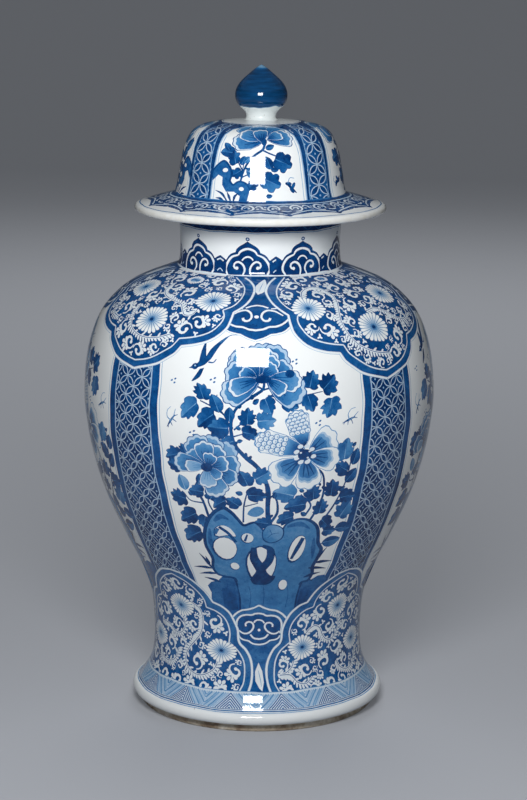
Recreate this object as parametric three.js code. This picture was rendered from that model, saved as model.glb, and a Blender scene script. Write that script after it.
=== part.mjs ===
import * as THREE from 'three';

// A tall covered baluster jar of porcelain, in millimetres, with +Z up.
// Its axis is the Z axis, and the origin is the centre of the foot, on the table.
// The jar and its cover are each thrown in sections, which are luted edge to edge before firing.
// Each section is a body of its own here, and the luted joints are the flat faces where they meet.

// Foot ring: the bare ring that the jar stands on
const footRingRadius = 112.5;
const footRingWidth = 13;
const footRingHeight = 7.5;
const footRingChamfer = 1.2;

// Base plate: the disc that closes the bottom, inside the flare and on the foot ring's inner edge
const baseSeatWidth = 4.2;
const baseThickness = 9;
const baseFitGap = 0.3;

// Rounded lip of the foot, and the flare that rises from it to the waist
const footLipRadius = 120.4;
const footLipReach = 4.8;
const footLipHeight = 11.4;
const flareHeight = 49.1;
const waistRadius = 99.3;

// Body: from the waist out to the belly's widest circle, and in over the shoulder to the neck
const lowerBodyHeight = 235;
const bellyRadius = 165.9;
const shoulderHeight = 120.6;
const neckBaseRadius = 77.6;
const jarWall = 8;

// Neck
const neckHeight = 57.4;
const neckRadius = 75.1;
const neckWall = 7.1;
const neckRidgeHeight = 14;
const mouthRounding = 1.6;

// Cover: a collar that drops into the neck, a wide brim on the mouth, and a dome
const collarClearance = 3.5;
const collarWall = 4.5;
const collarDepth = 25;
const collarChamfer = 1.2;
const brimRadius = 117.8;
const brimLipThickness = 7.6;
const brimDrop = 7;
const brimSeatRadius = 80;
const brimLedgeThickness = 6;
const domeRootHeight = 11;
const domeRootRadius = 80.4;
const domeHeight = 67.3;
const coverWall = 6;

// Knob: a waisted stem and a pointed bud, both open to the dome through a narrow vent
const ventRadius = 3;
const stemFootRadius = 16.2;
const stemHeight = 7.7;
const stemWaistRadius = 13.9;
const stemTopRadius = 15.4;
const budRadius = 24.3;
const budLowerHeight = 15;
const budUpperHeight = 28;
const budWall = 7;

// Counts of flat facets around the axis, and of steps along each rounded edge
const bodyFacets = 40;
const knobFacets = 24;
const lipSteps = 6;
const budHollowSteps = 5;

// Levels above the table, worked out from the sizes
const lipTopLevel = footRingHeight + footLipHeight;
const waistLevel = lipTopLevel + flareHeight;
const bellyLevel = waistLevel + lowerBodyHeight;
const neckBaseLevel = bellyLevel + shoulderHeight;
const mouthLevel = neckBaseLevel + neckHeight;
const domeRootLevel = mouthLevel + domeRootHeight;
const crownLevel = domeRootLevel + domeHeight;
const stemTopLevel = crownLevel + stemHeight;
const budBellyLevel = stemTopLevel + budLowerHeight;
const tipLevel = budBellyLevel + budUpperHeight;

// Radii that follow from the sizes
const footRingBore = footRingRadius - footRingWidth;
const baseRadius = footRingBore + baseSeatWidth;
const flareBore = baseRadius + baseFitGap;
const flareFootRadius = footLipRadius - footLipReach;
const neckBore = neckRadius - neckWall;
const collarRadius = neckBore - collarClearance;
const collarBore = collarRadius - collarWall;
const brimLipReach = brimLipThickness / 2;
const brimLipRootRadius = brimRadius - brimLipReach;

// A station is one circle of an outline: its radius in x and its level in y.
function station(radius, level) {
  return new THREE.Vector2(radius, level);
}

// Circles between two named circles. Each row is the share of the way up and the share of the way across.
function stationsBetween(start, end, shares) {
  return shares.map(([levelShare, radiusShare]) => station(
    THREE.MathUtils.lerp(start.x, end.x, radiusShare),
    THREE.MathUtils.lerp(start.y, end.y, levelShare),
  ));
}

// The unit normal of an outline at one of its circles, pointing away from the axis
function outwardNormal(outline, index) {
  const below = outline[Math.max(index - 1, 0)];
  const above = outline[Math.min(index + 1, outline.length - 1)];
  const along = above.clone().sub(below).normalize();
  return station(along.y, -along.x);
}

// The inside circle one wall behind a circle of the outline
function behind(outline, index, wall) {
  return outline[index].clone().addScaledVector(outwardNormal(outline, index), -wall);
}

// The inside circle level with a luted joint, where the wall keeps its thickness square to the surface
function behindJoint(outline, index, wall) {
  const normal = outwardNormal(outline, index);
  return station(outline[index].x - wall / normal.x, outline[index].y);
}

// Inside circles behind every second circle of a stretch, its two ends left out
function insideBetween(outline, first, last, wall) {
  const inside = [];
  for (let index = first + 2; index < last - 1; index += 2) {
    inside.push(behind(outline, index, wall));
  }
  return inside;
}

// A rounded edge: half an ellipse from its lowest circle to its highest, bulging away from the axis
function roundedLip(rootRadius, reach, bottomLevel, height) {
  const lip = [];
  for (let step = 0; step <= lipSteps; step += 1) {
    const angle = Math.PI * (step / lipSteps - 1 / 2);
    const level = bottomLevel + height / 2 * (1 + Math.sin(angle));
    lip.push(station(rootRadius + reach * Math.cos(angle), level));
  }
  return lip;
}

// Turns a profile about the Z axis. The profile runs up the outside and down the inside.
function turnedPiece(name, profile, facets, finish) {
  const geometry = new THREE.LatheGeometry(profile, facets);
  geometry.rotateX(Math.PI / 2);
  const piece = new THREE.Mesh(geometry, new THREE.MeshStandardMaterial(finish));
  piece.name = name;
  return piece;
}

// A ring: up the outside, down the inside, and back to where it began
function turnedRing(name, outside, inside, facets, finish) {
  const insideDown = inside.slice().reverse();
  return turnedPiece(name, [...outside, ...insideDown, outside[0].clone()], facets, finish);
}

// Finishes, seen from a step away: cobalt painting under clear glaze, plain glaze, and bare porcelain
const paintedGlaze = { color: 0x7088b4, roughness: 0.16, metalness: 0 };
const denseBlueGlaze = { color: 0x2c5388, roughness: 0.16, metalness: 0 };
const plainGlaze = { color: 0xe4e8ea, roughness: 0.14, metalness: 0 };
const bareBody = { color: 0xb5aa98, roughness: 0.8, metalness: 0 };

// Outer outline of the jar, from the top of the foot's lip to the root of the neck
const flareFoot = station(flareFootRadius, lipTopLevel);
const waist = station(waistRadius, waistLevel);
const belly = station(bellyRadius, bellyLevel);
const neckBase = station(neckBaseRadius, neckBaseLevel);

const flareShares = [
  [0.085, 0.21], [0.175, 0.41], [0.315, 0.655], [0.455, 0.82], [0.6, 0.92], [0.78, 0.975],
];
const lowerBodyShares = [
  [0.077, 0.01], [0.153, 0.036], [0.23, 0.108], [0.315, 0.234], [0.4085, 0.402],
  [0.511, 0.577], [0.621, 0.738], [0.74, 0.866], [0.868, 0.957],
];
const upperBodyShares = [
  [0.141, 0.009], [0.307, 0.036],
];
const shoulderJointShares = [
  [0.473, 0.093],
];
const shoulderShares = [
  [0.597, 0.163], [0.663, 0.218], [0.721, 0.283], [0.804, 0.402], [0.841, 0.4745],
  [0.871, 0.5425], [0.898, 0.622], [0.925, 0.712], [0.95, 0.803], [0.977, 0.9],
];

const [shoulderJoint] = stationsBetween(belly, neckBase, shoulderJointShares);
const jarOutline = [
  flareFoot,
  ...stationsBetween(flareFoot, waist, flareShares),
  waist,
  ...stationsBetween(waist, belly, lowerBodyShares),
  belly,
  ...stationsBetween(belly, neckBase, upperBodyShares),
  shoulderJoint,
  ...stationsBetween(belly, neckBase, shoulderShares),
  neckBase,
];

// One thrown section of the jar's wall between two luted joints
function bodySection(name, lowerCircle, upperCircle) {
  const first = jarOutline.indexOf(lowerCircle);
  const last = jarOutline.indexOf(upperCircle);
  const inside = [
    behindJoint(jarOutline, first, jarWall),
    ...insideBetween(jarOutline, first, last, jarWall),
    behindJoint(jarOutline, last, jarWall),
  ];
  return turnedRing(name, jarOutline.slice(first, last + 1), inside, bodyFacets, paintedGlaze);
}

// Foot ring, left bare where the jar stood in the kiln
function footRing() {
  const outside = [
    station(footRingRadius - footRingChamfer, 0),
    station(footRingRadius, footRingChamfer),
    station(footRingRadius, footRingHeight),
  ];
  const inside = [
    station(footRingBore + footRingChamfer, 0),
    station(footRingBore, footRingChamfer),
    station(footRingBore, footRingHeight),
  ];
  return turnedRing('foot_ring', outside, inside, bodyFacets, bareBody);
}

// Base plate, resting on the inner edge of the foot ring
function basePlate() {
  const profile = [
    station(0, footRingHeight),
    station(baseRadius, footRingHeight),
    station(baseRadius, footRingHeight + baseThickness),
    station(0, footRingHeight + baseThickness),
  ];
  return turnedPiece('base_plate', profile, bodyFacets, plainGlaze);
}

// Foot flare: the rounded lip on the foot ring and the hollow curve up to the waist
function footFlare() {
  const lip = roundedLip(flareFootRadius, footLipReach, footRingHeight, footLipHeight);
  const last = jarOutline.indexOf(waist);
  const outside = [...lip.slice(0, -1), ...jarOutline.slice(0, last + 1)];
  const inside = [
    station(flareBore, footRingHeight),
    station(flareBore, footRingHeight + baseThickness),
    ...insideBetween(jarOutline, 0, last, jarWall),
    behindJoint(jarOutline, last, jarWall),
  ];
  return turnedRing('foot_flare', outside, inside, bodyFacets, paintedGlaze);
}

// Shoulder: it turns in almost flat under the neck, and its throat is as wide as the neck's bore
function shoulder() {
  const first = jarOutline.indexOf(shoulderJoint);
  const last = jarOutline.indexOf(neckBase);
  const inside = [
    behindJoint(jarOutline, first, jarWall),
    ...insideBetween(jarOutline, first, last, jarWall),
    behind(jarOutline, last, jarWall),
    station(neckBore, neckBaseLevel),
  ];
  return turnedRing('shoulder', jarOutline.slice(first), inside, bodyFacets, paintedGlaze);
}

// Neck: a low ridge where it is luted to the shoulder, a plain wall, and a softly rounded mouth
function neck() {
  const ridgeTop = station(neckRadius, neckBaseLevel + neckRidgeHeight);
  const ridgeShares = [[0.13, 0.4], [0.4, 0.72]];
  const outside = [
    neckBase,
    ...stationsBetween(neckBase, ridgeTop, ridgeShares),
    ridgeTop,
    station(neckRadius, mouthLevel - mouthRounding * 3),
    station(neckRadius - mouthRounding / 3, mouthLevel - mouthRounding),
    station(neckRadius - mouthRounding, mouthLevel),
  ];
  const inside = [
    station(neckBore, neckBaseLevel),
    station(neckBore, mouthLevel - mouthRounding),
    station(neckBore + mouthRounding, mouthLevel),
  ];
  return turnedRing('neck', outside, inside, bodyFacets, paintedGlaze);
}

// Cover collar: the bare flange that hangs inside the neck and keeps the cover on the mouth
function coverCollar() {
  const lowestLevel = mouthLevel - collarDepth;
  const outside = [
    station(collarRadius - collarChamfer, lowestLevel),
    station(collarRadius, lowestLevel + collarChamfer),
    station(collarRadius, mouthLevel),
  ];
  const inside = [
    station(collarBore + collarChamfer, lowestLevel),
    station(collarBore, lowestLevel + collarChamfer),
    station(collarBore, mouthLevel),
  ];
  return turnedRing('cover_collar', outside, inside, bodyFacets, bareBody);
}

// Cover brim: flat where it sits on the mouth, then drooping to a thick rounded lip
function coverBrim() {
  const lipBottomLevel = mouthLevel - brimDrop;
  const lip = roundedLip(brimLipRootRadius, brimLipReach, lipBottomLevel, brimLipThickness);
  const seatEdge = station(brimSeatRadius, mouthLevel);
  const domeRoot = station(domeRootRadius, domeRootLevel);
  const undersideShares = [[0.36, 0.36], [0.73, 0.72]];
  const topShares = [[0.2, 0.24], [0.46, 0.5], [0.68, 0.75], [0.83, 0.89], [0.93, 0.975]];
  const outside = [
    station(collarBore, mouthLevel),
    seatEdge,
    ...stationsBetween(seatEdge, lip[0], undersideShares),
    ...lip,
    ...stationsBetween(lip[lipSteps], domeRoot, topShares),
    domeRoot,
  ];
  const inside = [
    station(collarBore, mouthLevel + brimLedgeThickness),
    station(domeRootRadius - coverWall, mouthLevel + brimLedgeThickness),
    station(domeRootRadius - coverWall, domeRootLevel),
  ];
  return turnedRing('cover_brim', outside, inside, bodyFacets, paintedGlaze);
}

// Cover dome: steep sides that turn over into a nearly flat crown, with a vent in its middle
function coverDome() {
  const domeRoot = station(domeRootRadius, domeRootLevel);
  const crownSeat = station(stemFootRadius, crownLevel);
  const domeShares = [
    [0.119, 0.036], [0.238, 0.0545], [0.357, 0.076], [0.475, 0.098], [0.592, 0.126],
    [0.686, 0.161], [0.753, 0.194], [0.825, 0.24], [0.877, 0.302], [0.917, 0.38],
    [0.945, 0.489], [0.975, 0.66], [0.993, 0.847],
  ];
  const outline = [domeRoot, ...stationsBetween(domeRoot, crownSeat, domeShares), crownSeat];
  const outside = [...outline, station(ventRadius, crownLevel)];
  const inside = [
    station(domeRootRadius - coverWall, domeRootLevel),
    ...insideBetween(outline, 0, outline.length - 1, coverWall),
    station(ventRadius, crownLevel - coverWall),
  ];
  return turnedRing('cover_dome', outside, inside, bodyFacets, paintedGlaze);
}

// Knob stem: a short waisted neck on the crown
function knobStem() {
  const foot = station(stemFootRadius, crownLevel);
  const stemWaist = station(stemWaistRadius, crownLevel + stemHeight * 2 / 5);
  const top = station(stemTopRadius, stemTopLevel);
  const lowerShares = [[0.2, 0.42], [0.6, 0.86]];
  const upperShares = [[0.5, 0.3]];
  const outside = [
    foot,
    ...stationsBetween(foot, stemWaist, lowerShares),
    stemWaist,
    ...stationsBetween(stemWaist, top, upperShares),
    top,
  ];
  const inside = [station(ventRadius, crownLevel), station(ventRadius, stemTopLevel)];
  return turnedRing('knob_stem', outside, inside, knobFacets, plainGlaze);
}

// Knob bud: an onion shape drawn up to a point, thrown hollow and vented through the stem
function knobBud() {
  const seat = station(stemTopRadius, stemTopLevel);
  const bulge = station(budRadius, budBellyLevel);
  const tip = station(0, tipLevel);
  const lowerShares = [[0.2, 0.36], [0.467, 0.765], [0.733, 0.944]];
  const upperShares = [
    [0.143, 0.021], [0.286, 0.086], [0.429, 0.198], [0.571, 0.358],
    [0.714, 0.547], [0.857, 0.741], [0.95, 0.89],
  ];
  const hollow = [];
  const hollowRadius = budRadius - budWall;
  const ventAngle = Math.asin(ventRadius / hollowRadius);
  for (let step = 0; step <= budHollowSteps; step += 1) {
    const angle = THREE.MathUtils.lerp(Math.PI, ventAngle, step / budHollowSteps);
    const height = angle > Math.PI / 2 ? budUpperHeight - 2 * budWall : budLowerHeight - budWall;
    const radius = step === 0 ? 0 : hollowRadius * Math.sin(angle);
    hollow.push(station(radius, budBellyLevel - height * Math.cos(angle)));
  }
  const profile = [
    ...hollow,
    station(ventRadius, stemTopLevel),
    seat,
    ...stationsBetween(seat, bulge, lowerShares),
    bulge,
    ...stationsBetween(bulge, tip, upperShares),
    tip,
  ];
  return turnedPiece('knob_bud', profile, knobFacets, denseBlueGlaze);
}

const jar = new THREE.Group();
jar.add(
  footRing(),
  basePlate(),
  footFlare(),
  bodySection('lower_body', waist, belly),
  bodySection('upper_body', belly, shoulderJoint),
  shoulder(),
  neck(),
);

const cover = new THREE.Group();
cover.add(coverCollar(), coverBrim(), coverDome(), knobStem(), knobBud());

const potiche = new THREE.Group();
potiche.add(jar, cover);

export default potiche;
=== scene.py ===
import math

import bmesh
import bpy
import numpy as np
from mathutils import Matrix, Vector
from mathutils.geometry import delaunay_2d_cdt


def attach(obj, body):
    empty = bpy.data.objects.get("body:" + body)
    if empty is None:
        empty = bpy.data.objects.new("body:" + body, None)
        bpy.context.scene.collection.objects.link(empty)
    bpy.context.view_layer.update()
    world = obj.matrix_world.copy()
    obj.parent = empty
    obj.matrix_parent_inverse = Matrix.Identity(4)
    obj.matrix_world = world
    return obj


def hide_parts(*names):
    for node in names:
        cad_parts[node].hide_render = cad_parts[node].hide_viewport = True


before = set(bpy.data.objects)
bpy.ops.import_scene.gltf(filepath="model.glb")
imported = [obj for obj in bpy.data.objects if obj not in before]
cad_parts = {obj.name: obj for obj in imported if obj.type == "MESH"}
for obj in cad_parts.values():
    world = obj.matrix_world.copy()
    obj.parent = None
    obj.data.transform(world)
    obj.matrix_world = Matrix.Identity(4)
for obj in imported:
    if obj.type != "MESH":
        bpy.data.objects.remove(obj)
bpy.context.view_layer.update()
scene = bpy.context.scene
mm = 0.001

# Camera: a long lens a little above the cover, looking down on the jar, as in the photograph.
# The lens is the photograph's focal length in pixels, on a frame 800 pixels tall and 36 mm high.
frame_height_pixels = 800
focal_pixels = 2467
sensor_size = 36
camera_place = Vector((0.0043, -2.3, 0.773))
camera_pitch = math.radians(90 - 11.8)
camera_roll = math.radians(0.46)
camera_data = bpy.data.cameras.new("camera")
camera_data.sensor_width = sensor_size
camera_data.lens = focal_pixels * sensor_size / frame_height_pixels
camera = bpy.data.objects.new("camera", camera_data)
scene.collection.objects.link(camera)
camera.location = camera_place
camera.rotation_euler = (
    Matrix.Rotation(camera_pitch, 4, "X") @ Matrix.Rotation(camera_roll, 4, "Z")
).to_euler()
scene.camera = camera


def linear(colour):
    """An sRGB hex colour as Blender's linear RGBA"""
    channels = [int(colour[i : i + 2], 16) / 255 for i in (1, 3, 5)]
    return [c / 12.92 if c <= 0.04045 else ((c + 0.055) / 1.055) ** 2.4 for c in channels] + [1.0]


def new_material(name):
    """An empty node material with its output, ready for nodes"""
    material = bpy.data.materials.new(name)
    material.use_nodes = True
    material.node_tree.nodes.clear()
    return material


def add_node(material, kind, settings=None, stops=(), **links):
    """Adds one node. A link may be a node, a socket, a value or a colour, under the input's name with _ for a
    space, or under _ and its number. The stops are those of a colour ramp, as places and hex colours."""
    node = material.node_tree.nodes.new(kind)
    for key, value in (settings or {}).items():
        setattr(node, key, value)
    while stops and len(node.color_ramp.elements) < len(stops):
        node.color_ramp.elements.new(0.5)
    for element, (place, colour) in zip(node.color_ramp.elements if stops else (), stops):
        element.position = place
        element.color = linear(colour)
    for key, value in links.items():
        socket = node.inputs[int(key[1:])] if key[1:].isdigit() else node.inputs[key.replace("_", " ")]
        if isinstance(value, bpy.types.Node):
            value = value.outputs[0]
        if isinstance(value, bpy.types.NodeSocket):
            material.node_tree.links.new(value, socket)
        else:
            socket.default_value = value
    return node


# Studio: a wide round floor of pale paper whose edge sweeps up all round, so that it is plain from any
# side, one softbox in front just above the view, wide fills behind and overhead, and an even grey room. The
# paper has a faint haze that only the camera sees.
floor_colour = "#a8abb1"
haze_colour = "#c3c7cf"
haze_share = 0.14
room_colour = "#b4b8bd"
room_strength = 0.21
floor_radius = 3.8
floor_steps = 96
sweep_radius = 3.4
sweep_height = 3.6
sweep_steps = 24
paper = new_material("matt_background_paper")
paper_shader = add_node(
    paper, "ShaderNodeBsdfPrincipled", Base_Color=linear(floor_colour), Roughness=0.85, Specular_IOR_Level=0.2
)
seen = add_node(paper, "ShaderNodeLightPath").outputs["Is Camera Ray"]
haze = add_node(paper, "ShaderNodeEmission", Color=linear(haze_colour))
seen_haze = add_node(paper, "ShaderNodeMath", {"operation": "MULTIPLY"}, _0=seen, _1=haze_share)
surface = add_node(paper, "ShaderNodeMixShader", _0=seen_haze, _1=paper_shader, _2=haze)
add_node(paper, "ShaderNodeOutputMaterial", Surface=surface)
sweep = bmesh.new()
profile = [sweep.verts.new((0, 0, 0)), sweep.verts.new((0, floor_radius, 0))]
for step in range(1, sweep_steps + 1):
    angle = math.radians(90 * step / sweep_steps)
    y = floor_radius + sweep_radius * math.sin(angle)
    profile.append(sweep.verts.new((0, y, sweep_radius * (1 - math.cos(angle)))))
profile.append(sweep.verts.new((0, floor_radius + sweep_radius, sweep_height)))
edges = [sweep.edges.new(pair) for pair in zip(profile, profile[1:])]
bmesh.ops.spin(
    sweep, geom=profile + edges, cent=(0, 0, 0), axis=(0, 0, 1), angle=2 * math.pi, steps=floor_steps,
    use_merge=True,
)
bmesh.ops.remove_doubles(sweep, verts=sweep.verts, dist=1e-5)
bmesh.ops.recalc_face_normals(sweep, faces=sweep.faces)
floor_mesh = bpy.data.meshes.new("floor")
sweep.to_mesh(floor_mesh)
sweep.free()
floor_mesh.shade_smooth()
floor_mesh.materials.append(paper)
floor = bpy.data.objects.new("floor", floor_mesh)
scene.collection.objects.link(floor)


def add_softbox(name, place, aim, width, height, power, mirrored):
    """A rectangular area light that faces aim, hidden from the camera, and from gloss unless mirrored"""
    lamp = bpy.data.lights.new(name, "AREA")
    lamp.shape = "RECTANGLE"
    lamp.size = width
    lamp.size_y = height
    lamp.energy = power
    box = bpy.data.objects.new(name, lamp)
    scene.collection.objects.link(box)
    box.location = place
    box.rotation_euler = (Vector(aim) - Vector(place)).to_track_quat("-Z", "Y").to_euler()
    box.visible_camera = False
    box.visible_glossy = mirrored


jar_middle = (0, 0, 0.34)
add_softbox(
    "front_softbox", (-0.065, -0.9, 0.797), jar_middle, width=0.34, height=0.27, power=9.2, mirrored=True
)
add_softbox("back_fill", (0.2, 2.6, 2.2), jar_middle, width=1.8, height=1.4, power=36, mirrored=False)
add_softbox("overhead_fill", (0, 0.1, 1.9), jar_middle, width=1.6, height=1.2, power=1.2, mirrored=False)
world = bpy.data.worlds.new("room")
world.use_nodes = True
world.node_tree.nodes["Background"].inputs["Color"].default_value = linear(room_colour)
world.node_tree.nodes["Background"].inputs["Strength"].default_value = room_strength
scene.world = world
scene.view_settings.view_transform = "Standard"


# Foot ring: the bare rim that the jar stood on in the kiln. Unglazed porcelain, turned on the wheel,
# stained brown by iron in the fire and scuffed by use.
def outline_of(node):
    """The circles of a CAD node's section, as (radius, level) in mm, walked round its edge anticlockwise"""
    mesh = bmesh.new()
    mesh.from_mesh(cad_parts[node].data)
    bmesh.ops.remove_doubles(mesh, verts=mesh.verts, dist=1e-6)
    beside = {}
    for edge in mesh.edges:
        if all(abs(v.co.x) < 1e-6 and v.co.y < 1e-6 for v in edge.verts):
            for here, there in (edge.verts, reversed(edge.verts)):
                beside.setdefault(here, []).append(there)
    ends = [v for v in beside if len(beside[v]) == 1]
    walk = [min(ends or beside, key=lambda v: (v.co.z, v.co.y))]
    while len(walk) < len(beside):
        walk.append(next(v for v in beside[walk[-1]] if v not in walk[-2:]))
    section = np.array([(-v.co.y / mm, v.co.z / mm) for v in walk])
    mesh.free()
    following = np.roll(section, -1, axis=0)
    area = np.sum(section[:, 0] * following[:, 1] - following[:, 0] * section[:, 1])
    if area > 0:
        return section
    return section[::-1]


def smooth(points, lengths, at):
    """Values and slopes, at some lengths along it, of a smooth curve through points at the given lengths"""
    slopes = np.gradient(points, lengths, axis=0)
    i = np.clip(np.searchsorted(lengths, at, side="right") - 1, 0, len(lengths) - 2)
    span = (lengths[i + 1] - lengths[i]).reshape((-1,) + (1,) * (points.ndim - 1))
    u = np.asarray(at - lengths[i]).reshape(span.shape) / span
    rise = points[i + 1] - points[i]
    value = points[i] + rise * u * u * (3 - 2 * u)
    value = value + span * u * (1 - u) * (slopes[i] * (1 - u) - slopes[i + 1] * u)
    slope = rise / span * 6 * u * (1 - u)
    slope = slope + slopes[i] * (1 - u) * (1 - 3 * u) + slopes[i + 1] * u * (3 * u - 2)
    return value, slope


class Outline:
    """A stretch of a section's edge, as a smooth curve measured in mm along its length"""

    def __init__(self, circles, start=0.0):
        self.circles = np.asarray(circles, float)
        steps = np.hypot(*np.diff(self.circles, axis=0).T)
        self.lengths = start + np.concatenate([[0.0], np.cumsum(steps)])
        self.start, self.end = self.lengths[0], self.lengths[-1]

    def at(self, t):
        """The circles at t, as (radius, level), and the unit direction of the edge there"""
        places, slopes = smooth(self.circles, self.lengths, np.atleast_1d(t))
        places = np.clip(places, self.circles.min(axis=0), self.circles.max(axis=0))
        return places, slopes / np.linalg.norm(slopes, axis=1, keepdims=True)

    def rows(self, longest):
        """Lengths for rings of the mesh: at most longest mm apart, and closer where the edge bends"""
        bend_per_row = math.radians(8)
        fine = np.linspace(self.start, self.end, int((self.end - self.start) / 0.2) + 2)
        heading = np.unwrap(np.arctan2(*self.at(fine)[1].T[::-1]))
        spent = np.diff(fine) / longest + np.abs(np.diff(heading)) / bend_per_row
        spent = np.concatenate([[0.0], np.cumsum(spent)])
        count = max(math.ceil(spent[-1]), 1)
        return np.interp(np.linspace(0, spent[-1], count + 1), spent, fine)


def eased(circles, reach=0.8):
    """The same stretch with a circle close to each side of every sharp corner, which keeps the flats flat"""
    sharp = math.radians(28)
    out = [circles[0]]
    for before, here, after in zip(circles, circles[1:], circles[2:]):
        back, ahead = before - here, after - here
        cosine = -back @ ahead / np.linalg.norm(back) / np.linalg.norm(ahead)
        if math.acos(max(-1, min(1, cosine))) < sharp:
            out.append(here)
            continue
        for side, room in ((back, out[-1] - here), (None, None), (ahead, ahead)):
            if side is None:
                out.append(here)
            elif np.linalg.norm(room) > 2.5 * reach:
                out.append(here + side / np.linalg.norm(side) * reach)
    return np.array(out + [circles[-1]])


def thrown(name, closed):
    """A node's solid turned on the wheel from its section, its corners eased as a damp sponge leaves them.
    A closed section goes round a hole, and any other starts and ends on the axis."""
    steps, longest_row, corner_reach = 128, 4.0, 0.4
    section = sections[name]
    circles = section
    if closed:
        gaps = np.hypot(*(np.roll(section, -1, axis=0) - section).T)
        i = int(gaps.argmax())
        middle = (section[i] + section[(i + 1) % len(section)]) / 2
        circles = np.vstack([middle, np.roll(section, -i - 1, axis=0), middle])
    outline = Outline(eased(circles, corner_reach))
    places = outline.at(outline.rows(longest_row))[0]
    if closed:
        places = places[:-1]
    mesh = bmesh.new()
    ring = [mesh.verts.new((0, -r * mm, z * mm)) for r, z in places]
    pairs = list(zip(ring, ring[1:])) + ([(ring[-1], ring[0])] if closed else [])
    edges = [mesh.edges.new(pair) for pair in pairs]
    bmesh.ops.spin(
        mesh, geom=ring + edges, cent=(0, 0, 0), axis=(0, 0, 1), angle=2 * math.pi, steps=steps,
        use_merge=True,
    )
    bmesh.ops.remove_doubles(mesh, verts=mesh.verts, dist=1e-6)
    bmesh.ops.recalc_face_normals(mesh, faces=mesh.faces)
    out = bpy.data.meshes.new(name)
    mesh.to_mesh(out)
    mesh.free()
    out.shade_smooth()
    return out


def place_piece(node, mesh, material, body):
    """Puts a finished mesh in the scene, in place of its CAD node"""
    mesh.materials.append(material)
    piece = bpy.data.objects.new(node, mesh)
    scene.collection.objects.link(piece)
    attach(piece, body)
    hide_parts(node)


# Bare porcelain: fired without glaze, dry and slightly gritty, with brown stains where iron in the clay met
# the flame.
stain_size = 13 * mm
stains = ((0.3, "#dad4c8"), (0.48, "#b8aa95"), (0.62, "#86725d"), (0.8, "#4a3c31"))
grit_size = 0.7 * mm
grit_height = 0.2 * mm
bare = new_material("bare_stained_porcelain")
place_on_ring = add_node(bare, "ShaderNodeTexCoord").outputs["Object"]
stain = add_node(
    bare, "ShaderNodeTexNoise", Vector=place_on_ring, Scale=1 / stain_size, Detail=5.0, Roughness=0.65
)
stained = add_node(bare, "ShaderNodeValToRGB", stops=stains, Fac=stain)
grit = add_node(bare, "ShaderNodeTexNoise", Vector=place_on_ring, Scale=1 / grit_size, Detail=3.0)
gritty = add_node(bare, "ShaderNodeBump", Height=grit, Strength=0.5, Distance=grit_height)
bare_shader = add_node(
    bare, "ShaderNodeBsdfPrincipled", Base_Color=stained, Roughness=0.72, IOR=1.5, Normal=gritty
)
add_node(bare, "ShaderNodeOutputMaterial", Surface=bare_shader)

sections = {node: outline_of(node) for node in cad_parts}
place_piece("foot_ring", thrown("foot_ring", True), bare, "jar")

# Base plate: the disc that closes the bottom, thrown with the foot and set a little above the ground.
# Porcelain with no painting, clear glazed inside and out: bluish white and glossy, with a few iron specks
# from the clay. Its white is greyer than the white ground of the painted pieces: partly the glaze's own tone,
# partly painted shade for the dimmer light on the knob's stem.
# Greyer white than the painted wall's ground: partly the glaze's own bluish tone, partly painted shade.
white_glaze_and_painted_shade, brown_speck = linear("#d6dddd"), linear("#8f8478")
speck_size = 1.2 * mm
clear_glaze = new_material("clear_glazed_porcelain")
place_on_piece = add_node(clear_glaze, "ShaderNodeTexCoord").outputs["Object"]
specks = add_node(clear_glaze, "ShaderNodeTexNoise", Vector=place_on_piece, Scale=1 / speck_size, Detail=0.0)
few_specks = add_node(clear_glaze, "ShaderNodeMapRange", Value=specks, From_Min=0.8, From_Max=0.86)
speckled = add_node(
    clear_glaze, "ShaderNodeMix", {"data_type": "RGBA"}, Factor=few_specks, _6=white_glaze_and_painted_shade, _7=brown_speck
)
clear_shader = add_node(
    clear_glaze, "ShaderNodeBsdfPrincipled", Base_Color=speckled.outputs[2], Roughness=0.05, IOR=1.5
)
add_node(clear_glaze, "ShaderNodeOutputMaterial", Surface=clear_shader)
place_piece("base_plate", thrown("base_plate", False), clear_glaze, "jar")


# The jar's wall: foot flare, lower body, upper body and shoulder. Porcelain, thrown in four sections, luted
# with slip and painted before firing as one surface. The painting is cut into the mesh, so that its lines
# stay sharp: each face carries the strength of its cobalt, and no operator makes such faces.
def nearest(circles, place):
    """Which of the circles lies nearest to a place"""
    return int(np.argmin(np.hypot(*(circles - place).T)))


def stretch(section, first, last):
    """The part of a closed section from the circle nearest to first, anticlockwise to the one nearest last"""
    start = nearest(section, first)
    count = (nearest(section, last) - start) % len(section) or len(section)
    return section[(start + np.arange(count + 1)) % len(section)]


def triangulated(points, edges, faces):
    """Delaunay triangles over flat points that keep the edges, and for each the last of the faces that cover
    it, or -1. Points closer together than the least gap become one, and a wider gap would open the seams."""
    least_gap = 3e-4
    flat = [Vector((float(x), float(y))) for x, y in points]
    places, _, triangles, _, _, covers = delaunay_2d_cdt(flat, edges, faces, 0, least_gap, True)
    triangles = np.array(triangles)
    top = np.array([max(c, default=-1) for c in covers])
    return np.array([(p.x, p.y) for p in places]), triangles, top


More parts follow.
